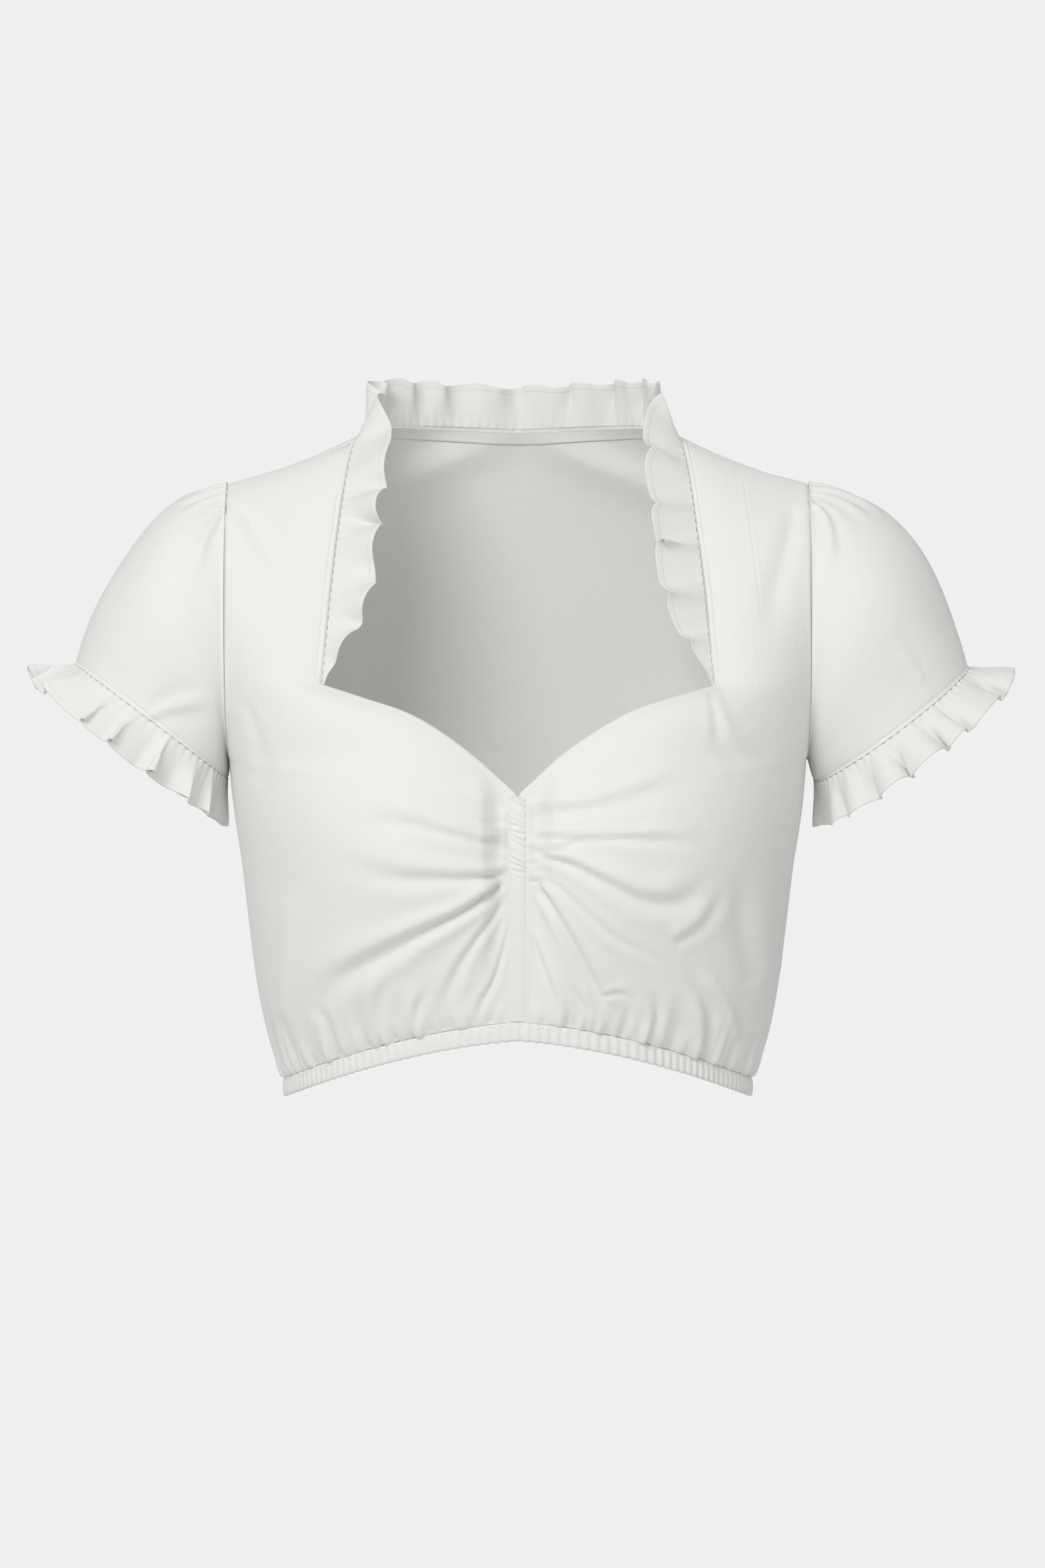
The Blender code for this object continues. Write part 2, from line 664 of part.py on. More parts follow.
def make_band():
    """The elastic casing at the hem: a ribbed outside over a plain inside."""
    columns = BAND_RIBS * 2

    def surface(u, w):
        # w runs round the casing's own section: inside, outside, and over to the inside again.
        line = hem_line(u)
        out = unit((line - np.array([0.0, HEM_MIDDLE_Y, 0.0])) * np.array([1.0, 1.9, 0.0]))
        rib = np.where(np.round(u * columns).astype(int) % 2 == 0, BAND_RIB_DEPTH, 0.0)
        corner = np.round(w * 4).astype(int) % 4
        outer = (corner == 1) | (corner == 2)
        upper = (corner == 2) | (corner == 3)
        away = np.where(outer, BAND_WALL / 2 + rib, -BAND_WALL / 2)
        top = WALL / 2 + SEAM_GAP
        line[:, 2] -= np.where(upper, top, top + BAND_HEIGHT)
        return line + out * away[:, None]

    bm = bmesh.new()
    bmesh.ops.create_grid(bm, x_segments=columns, y_segments=4, size=0.5)
    flat = np.array([v.co for v in bm.verts]) + 0.5
    for vert, place in zip(bm.verts, surface(flat[:, 0], flat[:, 1]) * MM):
        vert.co = place
    bmesh.ops.remove_doubles(bm, verts=bm.verts, dist=1e-6)
    bmesh.ops.recalc_face_normals(bm, faces=bm.faces)
    return object_from("hem_band", bm, BAND_COTTON)


for old in list(bpy.data.objects):
    bpy.data.objects.remove(old, do_unlink=True)

blouse = bpy.data.collections.new("dirndl_blouse")
bpy.context.scene.collection.children.link(blouse)

make_front("left", 1.0)
make_front("right", -1.0)
make_back()
make_sleeve("left", 1.0)
make_sleeve("right", -1.0)
make_sleeve_frill("left", 1.0)
make_sleeve_frill("right", -1.0)
make_neck_frill()
make_facing()
make_channel()
make_band()
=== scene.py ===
import math

import bmesh
import bpy
import numpy as np
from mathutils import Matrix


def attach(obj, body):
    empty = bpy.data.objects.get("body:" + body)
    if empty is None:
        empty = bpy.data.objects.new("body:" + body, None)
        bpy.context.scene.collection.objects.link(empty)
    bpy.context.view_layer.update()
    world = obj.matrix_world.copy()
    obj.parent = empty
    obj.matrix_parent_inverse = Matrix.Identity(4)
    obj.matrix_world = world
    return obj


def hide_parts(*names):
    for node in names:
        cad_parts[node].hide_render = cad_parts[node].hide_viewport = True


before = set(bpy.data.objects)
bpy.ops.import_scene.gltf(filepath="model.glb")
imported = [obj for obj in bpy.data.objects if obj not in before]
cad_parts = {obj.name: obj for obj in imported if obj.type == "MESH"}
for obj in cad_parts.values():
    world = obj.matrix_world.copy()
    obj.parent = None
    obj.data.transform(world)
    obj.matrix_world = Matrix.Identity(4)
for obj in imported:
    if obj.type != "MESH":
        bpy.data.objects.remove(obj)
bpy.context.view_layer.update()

# Bodice fronts
# Each front is one panel from the centre seam to the side seam, with the armhole cut into it. The
# centre seam is drawn up on itself, so creases fan out from it over the bust, and the elastic at
# the hem draws up shorter ones. The neckline edge is turned in; the cloth is fine, crisp cotton.

MM = 0.001
CLOTH = 0.55  # thickness of the cotton
BODICE_COLOUR = (0.800, 0.805, 0.778)
WEAVE_PITCH = 0.62
CHANNEL_HALF_WIDTH = 4.6
RUCHE_TOP = -217.0
RUCHE_BOTTOM = -262.0
FRONT_V, FRONT_CORNER, UNDERARM, SHOULDER = 6, 10, 6, 16

# Sections of one front from hem to shoulder: the centre or neckline edge, a point that pulls the
# cloth out over the bust, one that pulls it round to the side, and the outer edge. (x, y, z).
FRONT_SECTIONS = (
    ((0, -97, -344.5), (77, -98, -350.5), (139.5, -54, -381.5), (139.5, 0, -382)),
    ((0, -101, -327), (84, -113, -334), (149, -62, -357), (149, 0, -358)),
    ((0, -105, -305), (86, -130, -311), (155.3, -70, -327), (155.3, 0, -329)),
    ((0, -109, -281), (83, -148, -284), (160.8, -79, -289), (160.8, 0, -290)),
    ((0, -112, -258), (77, -160, -259), (165, -86, -256), (165, 0, -255)),
    ((0, -113, -236), (74, -163, -235), (170, -90, -226), (169.5, 0, -222)),
    ((0, -112.5, -212.7), (80, -156, -210), (173.5, -86, -200), (172.5, 0, -190.5)),
    ((28, -111, -187), (90, -139, -190), (170, -80, -192), (172.8, -16, -186.5)),
    ((60, -106, -166.5), (103, -125, -171), (163, -80, -182), (173.3, -29, -177)),
    ((90, -96, -155.5), (117, -109, -159), (158, -80, -166), (173.8, -39, -162)),
    ((114.5, -84, -148), (133, -93, -149), (157, -76, -146), (174, -45.5, -143)),
    ((112.5, -72, -121), (131, -80, -123), (156, -70, -121), (174, -49, -119)),
    ((110, -57.5, -89), (129, -64.5, -92), (155, -61, -95), (174, -48.5, -95)),
    ((106.5, -41, -55), (126, -48, -60), (154, -50, -69), (174, -43, -71)),
    ((103, -23, -25.5), (123, -31, -34), (152, -34, -47), (174, -32, -50.5)),
    ((100, -8, -7), (122, -13, -17), (150, -16, -29), (174.2, -16, -34)),
    ((98, 4, 0), (123.5, 4, -12), (149, 4, -19), (174.5, 4, -25.6)),
    ((97.5, 18, -3), (123, 22, -16), (149, 24, -27), (174.3, 23, -36)),
)

# Folds of each front, seen from the front: the points (x, z) that the fold runs through, x away
# from the centre line, then the heights of a ridge on its left, of a trough along it and of a
# ridge on its right, and its width at the start and at the end. A negative trough is a ridge.
FOLDS = {
    "right": (
        (((3, -228), (39, -213), (65, -202), (79, -197), (92, -188)), 0.5, 0.9, 0.9, 2.2, 4.2),
        (((3, -243), (39, -235), (59, -230), (76, -228), (98, -230)), 2.2, 2.0, 0.6, 3.0, 8.0),
        (((3, -255), (21, -260), (52, -261), (76, -259), (114, -250)), 2.6, 2.6, 0.8, 3.0, 8.5),
        (
            ((1, -257), (29, -278), (57, -293), (76, -304), (95, -315), (109, -327), (120, -350)),
            *(3.4, 4.6, 2.2, 3.2, 10.0),
        ),
        (((8, -273), (29, -304), (37, -320), (46, -342)), 1.2, 2.2, 1.2, 2.6, 5.5),
        (((2, -280), (12.5, -317), (21, -334), (26, -351)), 0.9, 1.6, 0.9, 2.2, 3.8),
        (((61, -356), (58, -337), (50, -322)), 1.0, 1.7, 1.0, 3.0, 4.5),
        (((79, -362), (80, -334), (75, -313)), 0.8, 1.4, 0.8, 3.2, 5.0),
        (((106, -372), (111, -348), (118, -334)), 0.8, 1.6, 1.0, 3.0, 4.5),
        (((140, -350), (135, -293), (132, -266)), 0.2, -1.6, 0.3, 7.0, 9.0),
        (((165, -40), (152, -62), (142, -80), (139, -116)), 0.4, 2.0, 0.4, 6.0, 9.0),
        (((134, -34), (139, -66), (141, -92)), 0.2, 0.3, 0.1, 1.2, 1.3),
        (((160, -158), (150, -185), (147, -215)), 0.6, 0.9, 0.4, 4.0, 8.0),
    ),
    "left": (
        (((2, -221), (35, -216), (60, -209), (82, -201), (106, -194)), 0.2, -1.9, -1.4, 3.2, 7.0),
        (((3, -237), (39, -237.5), (71, -238), (90, -239), (114, -242)), 2.0, 2.6, 0.6, 2.2, 4.8),
        (((2, -245), (20, -244), (35, -240), (42, -239)), 0.8, 2.2, 0.6, 2.2, 2.8),
        (
            ((2, -245), (27, -251), (49, -262), (71, -273), (90, -275), (104, -269), (120, -256)),
            *(2.8, 3.2, 1.2, 2.8, 9.0),
        ),
        (((2, -262), (21, -264), (35, -276), (55, -294), (76, -305), (101, -316)), *(0.6, 1.3, 0.9, 2.0, 4.0)),
        (((6, -256), (26, -287), (39, -312), (48, -331), (54, -350)), 2.0, 3.0, 1.8, 3.0, 5.5),
        (((6, -290), (20, -327), (24, -348)), 0.9, 1.5, 0.8, 2.4, 3.8),
        (((40, -351), (37, -335), (32, -322)), 0.8, 1.3, 0.8, 2.6, 3.6),
        (((74, -361), (81, -341), (78, -324)), 1.6, 2.6, 1.2, 3.2, 5.0),
        (((107, -373), (112, -351), (110, -334), (97, -313)), 2.4, 3.4, 1.6, 3.6, 6.0),
        (((130, -358), (120, -331), (105, -313)), 0.3, -1.9, 0.3, 3.8, 5.0),
        (((90, -299), (109, -286), (122, -262)), 1.6, 1.8, 0.5, 4.0, 6.0),
        (((140, -326), (132, -293), (130, -252)), 0.3, 2.6, 1.5, 8.0, 10.0),
        (((111, -148), (117, -172), (121, -184), (138, -198)), 1.2, 1.2, 0.3, 2.2, 7.0),
        (((111, -148), (114, -170), (115, -192)), 0.6, 0.8, 0.3, 2.0, 5.0),
        (((49, -329), (58, -327), (68, -332)), 0.8, 1.3, 0.4, 2.4, 3.0),
        (((165, -40), (158, -70), (150, -100), (146, -126)), 0.4, 2.2, 0.4, 7.0, 10.0),
        (((134, -20), (140, -76), (145, -133)), 0.1, 0.3, 0.2, 1.2, 1.3),
    ),
}


def spline(points, at, corners=()):
    """Smooth curve through points at 0, 1, 2 and so on. At an index in corners it turns sharply."""
    points = np.asarray(points, float)
    last = len(points) - 1
    leaving = np.empty_like(points)
    leaving[1:last] = (points[2:] - points[:-2]) / 2
    leaving[0] = points[1] - points[0]
    leaving[last] = points[last] - points[last - 1]
    arriving = leaving.copy()
    for corner in corners:
        arriving[corner] = points[corner] - points[corner - 1]
        leaving[corner] = points[corner + 1] - points[corner]
    at = np.asarray(at, float)
    start = np.clip(np.floor(at).astype(int), 0, last - 1)
    f = (at - start)[:, None]
    return (
        points[start] * (2 * f**3 - 3 * f**2 + 1)
        + leaving[start] * (f**3 - 2 * f**2 + f)
        + points[start + 1] * (3 * f**2 - 2 * f**3)
        + arriving[start + 1] * (f**3 - f**2)
    )


def bezier(points, t):
    t = t[:, None]
    a, b, c, d = points
    return a * (1 - t) ** 3 + 3 * b * (1 - t) ** 2 * t + 3 * c * (1 - t) * t**2 + d * t**3


def ease(x):
    """0 below 0 and 1 above 1, with a smooth rise between."""
    x = np.clip(x, 0.0, 1.0)
    return x * x * (3 - 2 * x)


def unit(vectors):
    return vectors / np.maximum(np.linalg.norm(vectors, axis=1, keepdims=True), 1e-9)


def bump(x, width):
    return np.exp(-((x / width) ** 2))


def steering(sections, v, inner_corners, outer_corners):
    columns = np.swapaxes(np.array(sections, float), 0, 1)
    return (
        spline(columns[0], v, inner_corners),
        spline(columns[1], v),
        spline(columns[2], v),
        spline(columns[3], v, outer_corners),
    )


def front_smooth(u, v):
    """A front before its folds: u from the centre or neckline out to the side, v upwards."""
    points = steering(FRONT_SECTIONS, v, (FRONT_V, FRONT_CORNER), (UNDERARM,))
    place = bezier(points, u)
    flat = 1 - ease((place[:, 0] - CHANNEL_HALF_WIDTH - 4.5) / 13)
    flat *= 1 - ease(v - FRONT_V)
    place[:, 1] += (points[0][:, 1] - place[:, 1]) * flat
    return place


def normals(surface, u, v, turn=1.0):
    step = 1e-3
    across = surface(u + step, v) - surface(u - step, v)
    along = surface(u, np.minimum(v + step, SHOULDER)) - surface(u, np.maximum(v - step, 0))
    return unit(np.cross(across, along)) * turn


def fold_height(seen, folds):
    """Height at places on a flat view of the folds that are drawn on it."""
    height = np.zeros(len(seen))
    steps = np.linspace(0, 1, 81)
    for points, left, trough, right, narrow, wide in folds:
        line = spline(points, steps * (len(points) - 1))
        way = np.gradient(line, axis=0)
        way /= np.linalg.norm(way, axis=1, keepdims=True)
        reach = 3.2 * max(narrow, wide)
        near = ((seen > line.min(axis=0) - reach) & (seen < line.max(axis=0) + reach)).all(axis=1)
        offset = seen[near][:, None, :] - line[None]
        distance = np.linalg.norm(offset, axis=2)
        nearest = distance.argmin(axis=1)
        rows = np.arange(len(nearest))
        beside, ahead = offset[rows, nearest], way[nearest]
        across = np.sign(ahead[:, 0] * beside[:, 1] - ahead[:, 1] * beside[:, 0])
        across *= distance[rows, nearest]
        along = steps[nearest]
        width = narrow + (wide - narrow) * ease(along * 1.2)
        profile = left * bump(across - 1.1 * width, width)
        profile += right * bump(across + 1.1 * width, width)
        profile -= trough * bump(across, 0.75 * width)
        height[near] += profile * ease(along / 0.1) * ease((1.0 - along) / 0.42)
    return height


def ruche_pucker(x, z, seed):
    """Short gathers beside the drawn-up centre seam; x is the distance from the centre line."""
    inside = ease((z - RUCHE_BOTTOM + 4) / 6) * ease((RUCHE_TOP + 4 - z) / 6)
    wave = np.cos(2 * math.pi * (z / 6.3 + 0.35 * np.sin(z / 5.1 + seed)) + seed)
    reach = 10 + 6 * np.sin(z / 4.3 + 2.1 * seed)
    away = np.maximum(x - CHANNEL_HALF_WIDTH, 0)
    return (1.6 * wave + 0.9 * bump(away - 5, 5)) * inside * np.exp(-away / reach)


def hem_gathers(around, rise, seed):
    """Folds drawn up by the elastic. around is the way along the hem and rise that above it, mm."""
    long_wave = np.cos(2 * math.pi * around / 21 + 1.7 * np.sin(around / 27 + seed))
    long_reach = 26 + 13 * np.sin(around / 13.0 + seed)
    short_wave = np.cos(2 * math.pi * around / 9.1 + 1.2 * np.sin(around / 9.7 + 2 * seed))
    short_reach = 13 + 6 * np.sin(around / 7.9 + seed)
    fine_wave = np.cos(2 * math.pi * around / 4.7 + 0.9 * np.sin(around / 6.3 + seed))
    fine_reach = 5.5 + 3.0 * np.sin(around / 5.3 + 3 * seed)
    height = 1.1 * long_wave * np.exp(-((rise / long_reach) ** 2))
    height += 0.9 * short_wave * np.exp(-((rise / short_reach) ** 2))
    height += 0.55 * fine_wave * np.exp(-((rise / fine_reach) ** 2))
    puffed = 0.8 * bump(rise - 7, 6)
    return (height + puffed) * ease(rise / 3.5 + 0.3) - 0.5 * np.exp(-rise / 1.5)


def slack(place, seed):
    """Broad unevenness of cloth that isn't stretched."""
    x, y, z = place.T
    return (
        0.34 * np.sin(x / 13.0 + z / 31.0 + seed)
        + 0.30 * np.sin(z / 17.0 - x / 29.0 + 2.3 * seed)
        + 0.22 * np.sin(y / 11.0 + z / 23.0 + 1.3 * seed)
    )


def seam_dip(distance, depth=0.8, reach=1.6):
    """A panel's edge turns in where it is sewn to the next."""
    return -depth * np.exp(-((distance / reach) ** 2))


def front_cloth(u, v, side):
    place = front_smooth(u, v)
    seed = 0.7 if side == "left" else 2.9
    x, z = place[:, 0], place[:, 2]
    hem = front_smooth(u, v * 0)
    rise = np.maximum(z - hem[:, 2], 0)
    height = fold_height(place[:, [0, 2]], FOLDS[side])
    height += hem_gathers(u * 178, rise, seed)
    height += ruche_pucker(x, z, seed)
    height *= ease((x - CHANNEL_HALF_WIDTH) / 3.5 + (v > FRONT_V))
    height += slack(place, seed) * ease(v / 3) * ease(x / 30)
    to_side = np.linalg.norm(place - front_smooth(u * 0 + 1, v), axis=1)
    height *= ease(to_side / 9)
    height += seam_dip(to_side)
    height += seam_dip((SHOULDER - v) * 9)
    upper = ease((v - FRONT_CORNER) / 0.4)
    to_neck = np.linalg.norm(place - front_smooth(u * 0, v), axis=1)
    # Along the frill the seam allowance lies under the cloth, held by a row of stitches.
    height += (0.35 * bump(to_neck - 1.9, 1.0) - 0.3 * bump(to_neck - 3.6, 0.7)) * upper
    height += seam_dip(to_neck, 0.6, 0.9) * upper
    # The neckline below the frill is turned in and stands out a little, softly rounded.
    low_neck = ease((v - FRONT_V) / 0.3) * (1 - upper)
    height += 0.35 * bump(to_neck - 3.2, 2.2) * low_neck
    height -= 0.9 * np.exp(-to_neck / 0.8) * low_neck
    return place + normals(front_smooth, u, v) * height[:, None]


def spread(w, pull):
    """Shares of a grid's width or length, drawn together towards both edges."""
    return w - pull * np.sin(2 * math.pi * w) / (2 * math.pi)


def lay_cloth(name, surface, grid, size, wall=CLOTH, sides=1.0, mirrored=False, pull=(0.7, 0.4)):
    """A sheet laid over a surface of (u, w), given a wall. size is its way across and along, mm."""
    bm = bmesh.new()
    flat_map = bm.loops.layers.uv.new("cut")
    bmesh.ops.create_grid(bm, x_segments=grid[0], y_segments=grid[1], size=0.5)
    flat = np.array([v.co for v in bm.verts]) + 0.5
    u, w = spread(flat[:, 0], pull[0]), spread(flat[:, 1], pull[1])
    places = surface(u, w) * MM
    places[:, 0] *= sides
    bm.verts.index_update()
    for vert, place in zip(bm.verts, places):
        vert.co = place
    for face in bm.faces:
        for loop in face.loops:
            index = loop.vert.index
            loop[flat_map].uv = (u[index] * size[0] * MM, w[index] * size[1] * MM)
    bmesh.ops.remove_doubles(bm, verts=bm.verts, dist=2e-6)
    bmesh.ops.recalc_face_normals(bm, faces=bm.faces)
    obj = as_object(name, bm)
    if mirrored:
        other = obj.modifiers.new("Other half", "MIRROR")
        other.use_axis[0] = True
        other.merge_threshold = 2e-5
    solid = obj.modifiers.new("Wall", "SOLIDIFY")
    solid.thickness = wall * MM
    solid.offset = 0.0
    return obj


def as_object(name, bm):
    mesh = bpy.data.meshes.new(name)
    bm.to_mesh(mesh)
    bm.free()
    mesh.shade_smooth()
    obj = bpy.data.objects.new(name, mesh)
    bpy.context.scene.collection.objects.link(obj)
    return obj


class Graph:
    """A material's nodes. Its values can be added, subtracted, multiplied and divided."""

    def __init__(self, name):
        self.material = bpy.data.materials.new(name)
        self.material.use_nodes = True
        self.tree = self.material.node_tree
        self.tree.nodes.clear()

    def node(self, kind, settings=None, inputs=None):
        made = self.tree.nodes.new(kind)
        for key, value in (settings or {}).items():
            setattr(made, key, value)
        for key, value in (inputs or {}).items():
            if isinstance(value, Value):
                self.tree.links.new(value.socket, made.inputs[key])
            else:
                made.inputs[key].default_value = value
        return made

    def value(self, kind, output, settings=None, inputs=None):
        return Value(self, self.node(kind, settings, inputs).outputs[output])

    def math(self, operation, *values):
        inputs = dict(enumerate(values))
        return self.value("ShaderNodeMath", 0, {"operation": operation}, inputs)


class Value:
    def __init__(self, graph, socket):
        self.graph = graph
        self.socket = socket

    def __add__(self, other):
        return self.graph.math("ADD", self, other)

    def __sub__(self, other):
        return self.graph.math("SUBTRACT", self, other)

    def __mul__(self, other):
        return self.graph.math("MULTIPLY", self, other)

    def __truediv__(self, other):
        return self.graph.math("DIVIDE", self, other)

    def __radd__(self, other):
        return self.graph.math("ADD", other, self)

    def __rsub__(self, other):
        return self.graph.math("SUBTRACT", other, self)

    def __rmul__(self, other):
        return self.graph.math("MULTIPLY", other, self)


def cotton(name, colour, edge_line=None):
    """White plain weave. edge_line is how far up the cloth, in mm, a hem's fold ends, if any."""
    graph = Graph(name)
    cut = graph.value("ShaderNodeUVMap", 0, {"uv_map": "cut"})
    parts = graph.node("ShaderNodeSeparateXYZ", inputs={0: cut})
    across, along = (Value(graph, parts.outputs[k]) for k in (0, 1))

    def threads(x_pitch, y_pitch, detail):
        stretched = graph.value(
            "ShaderNodeCombineXYZ", 0, inputs={0: across / x_pitch, 1: along / y_pitch}
        )
        return graph.value(
            "ShaderNodeTexNoise",
            0,
            {"noise_dimensions": "2D"},
            {"Vector": stretched, "Scale": 1.0, "Detail": detail, "Roughness": 0.6},
        )

    pitch = WEAVE_PITCH * MM
    weave = threads(pitch * 1.1, pitch * 9, 2.0) + threads(pitch * 9, pitch * 1.1, 2.0)
    crumple = threads(9 * MM, 12 * MM, 3.0)
    height = weave * (0.085 * MM) + crumple * (0.42 * MM)
    if edge_line is not None:
        ramp = graph.value(
            "ShaderNodeMapRange",
            0,
            {"interpolation_type": "SMOOTHSTEP"},
            {0: along, 1: (edge_line - 0.35) * MM, 2: (edge_line + 0.35) * MM, 3: 0.0, 4: 1.0},
        )
        height = height + ramp * (0.35 * MM)
    normal = graph.value(
        "ShaderNodeBump", 0, inputs={"Strength": 0.55, "Distance": 1.0, "Height": height}
    )
    tint = graph.value(
        "ShaderNodeMix",
        2,
        {"data_type": "RGBA"},
        {
            0: weave * 0.5,
            6: tuple(c * 0.955 for c in colour) + (1.0,),
            7: tuple(min(c * 1.03, 1.0) for c in colour) + (1.0,),
        },
    )
    surface = graph.node(
        "ShaderNodeBsdfPrincipled",
        inputs={
            "Base Color": tint,
            "Roughness": 0.86,
            "Metallic": 0.0,
            "Sheen Weight": 0.12,
            "Sheen Roughness": 0.5,
            "Specular IOR Level": 0.25,
            "Normal": normal,
        },
    )
    output = graph.node("ShaderNodeOutputMaterial")
    graph.tree.links.new(surface.outputs[0], output.inputs[0])
    return graph.material


def stitch_row(name, lines, pitch, length, thick):
    """Rows of short stitches. Each line is (points, outward directions), in mm."""
    bm = bmesh.new()
    for points, outward in lines:
        along = np.concatenate([[0], np.cumsum(np.linalg.norm(np.diff(points, axis=0), axis=1))])
        count = max(int(along[-1] / pitch), 1)
        for k in range(count):
            at = (k + 0.5) * along[-1] / count
            centre = np.array([np.interp(at, along, points[:, c]) for c in range(3)])
            ahead = np.array([np.interp(at + 0.5, along, points[:, c]) for c in range(3)])
            out = np.array([np.interp(at, along, outward[:, c]) for c in range(3)])
            way = ahead - np.array([np.interp(at - 0.5, along, points[:, c]) for c in range(3)])
            way /= max(np.linalg.norm(way), 1e-9)
            out -= way * (out @ way)
            out /= max(np.linalg.norm(out), 1e-9)
            across = np.cross(way, out)
            ball = bmesh.ops.create_icosphere(bm, subdivisions=1, radius=1.0)["verts"]
            for vert in ball:
                x, y, z = vert.co
                place = (
                    centre
                    + way * (x * length / 2)
                    + across * (y * thick / 2)
                    + out * (z * thick / 2)
                )
                vert.co = place * MM
    return as_object(name, bm)


def thread_material(name, colour):
    graph = Graph(name)
    surface = graph.node(
        "ShaderNodeBsdfPrincipled",
        inputs={"Base Color": colour + (1.0,), "Roughness": 0.6, "Metallic": 0.0},
    )
    output = graph.node("ShaderNodeOutputMaterial")
    graph.tree.links.new(surface.outputs[0], output.inputs[0])
    return graph.material


bodice_cotton = cotton("bodice_cotton", BODICE_COLOUR)
sewing_thread = thread_material("sewing_thread", (0.78, 0.785, 0.76))
MIRROR = np.array([-1.0, 1.0, 1.0])


def make_front(side, sides):
    def surface(u, w):
        v = w * SHOULDER
        place = front_cloth(u, v, side)
        place[:, 0] += 0.1 * (u < 1e-6) * (v < FRONT_V + 1e-6)
        place[:, 1] -= 0.1 * ((u > 0.9999) & (v < UNDERARM + 1e-6))
        place[:, 1] -= 0.1 * (v > SHOULDER - 1e-6)
        return place

    grid, size = (186, 206), (190, 400)
    name = "bodice_front_" + side
    obj = lay_cloth(name, surface, grid, size, sides=sides, pull=(0.4, 0.4))
    obj.data.materials.append(bodice_cotton)
    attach(obj, "root")
    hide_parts("front_" + side)
    return obj


bodice_fronts = [make_front("left", 1.0), make_front("right", -1.0)]

# Centre front channel
# A narrow strip is sewn over the centre seam with a row of stitches along each edge. Its upper
# part is drawn up on a tape inside, which puts slanting ridges across it.

CHANNEL_RIDGES = 12


def channel_surface(u, w):
    z = -344.0 + (-213.8 + 344.0) * w
    heights = np.linspace(0, FRONT_V, 300)
    centre = front_smooth(np.zeros(300), heights)
    y = np.interp(z, centre[:, 2], centre[:, 1])
    across = (u - 0.5) * 2
    drawn = ease((z - RUCHE_BOTTOM) / 4)
    slanted = z + 1.9 * across + 1.1 * np.sin(z / 3.7) + 0.7 * np.sin(z / 1.9 + 2 * across)
    ridge = 0.5 + 0.5 * np.cos(2 * math.pi * CHANNEL_RIDGES * slanted / (RUCHE_TOP - RUCHE_BOTTOM))
    uneven = 0.7 + 0.3 * np.sin(z / 2.9 + 2.0 * across)
    raised = 1.15 * ridge * uneven * drawn * (1 - 0.45 * across**2)
    edge = 0.5 * np.abs(across) ** 6
    stitched = 0.22 * bump(np.abs(across) - 0.72, 0.1)
    x = across * (CHANNEL_HALF_WIDTH - 0.2) * (1 - 0.14 * drawn * (1 - ridge))
    return np.stack([x, y - 0.62 - raised + edge + stitched, z], axis=1)


channel = lay_cloth("centre_channel", channel_surface, (22, 260), (9, 150), 0.4, pull=(0.3, 0.0))
channel.data.materials.append(bodice_cotton)
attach(channel, "root")
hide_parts("front_channel")

channel_lines = []
for edge in (-0.72, 0.72):
    run = np.linspace(0.005, 0.62, 200)
    points = channel_surface(np.full(200, 0.5 + edge / 2), run)
    points[:, 1] -= 0.2
    channel_lines.append((points, np.tile([0.0, -1.0, 0.0], (200, 1))))
channel_stitches = stitch_row("channel_stitches", channel_lines, 2.3, 1.7, 0.28)
channel_stitches.data.materials.append(sewing_thread)
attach(channel_stitches, "root")

# Back
# The back is one panel without a centre seam. It lies smoothly over the shoulder blades and is
# drawn up by the same elastic at the hem.

BACK_SECTIONS = (
    ((0, 84, -344.5), (77, 84, -350.5), (139.5, 46, -381.5), (139.5, 0, -382)),
    ((0, 89, -322), (83, 89, -331), (149, 51, -357), (149, 0, -358)),
    ((0, 92, -292), (87, 92, -299), (155.3, 54, -328), (155.3, 0, -329)),
    ((0, 94, -258), (90, 94, -262), (160.8, 58, -290), (160.8, 0, -290)),
    ((0, 97, -224), (93, 97, -227), (165, 61, -256), (165, 0, -255)),
    ((0, 100, -190), (96, 100, -192), (170, 64, -226), (169.5, 0, -222)),
    ((0, 103, -156), (97, 104, -158), (173.5, 66, -198), (172.5, 0, -190.5)),
    ((0, 105, -124), (92, 107, -130), (169, 72, -178), (173.2, 22, -184)),
    ((0, 105, -92), (86, 108, -103), (164, 79, -148), (174, 39, -162)),
    ((0, 103.5, -62), (80, 107, -78), (160, 80, -116), (174, 48.5, -134)),
    ((0, 100, -34), (72, 104, -56), (156, 76, -92), (174, 50.5, -106)),
    ((0, 94.5, -8), (62, 99.5, -34), (152, 68, -72), (174, 47, -80)),
    ((0, 86, 12), (48, 93, -14), (147, 56, -52), (174, 38, -58)),
    ((44, 79, 13.5), (72, 83, -8), (144, 42, -37), (174.2, 27, -42)),
    ((77, 55, 12), (100, 55, -4), (145, 27, -27), (174.4, 15, -31)),
    ((93, 27, 6.5), (114, 27, -7), (147, 15, -21), (174.5, 9, -27)),
    ((98, 4, 0), (123.5, 4, -12), (149, 4, -19), (174.5, 4, -25.6)),
    ((100, -9, -5), (122, -10, -15), (150, -10, -24), (174.4, -5, -28)),
)
BACK_NECK = 12

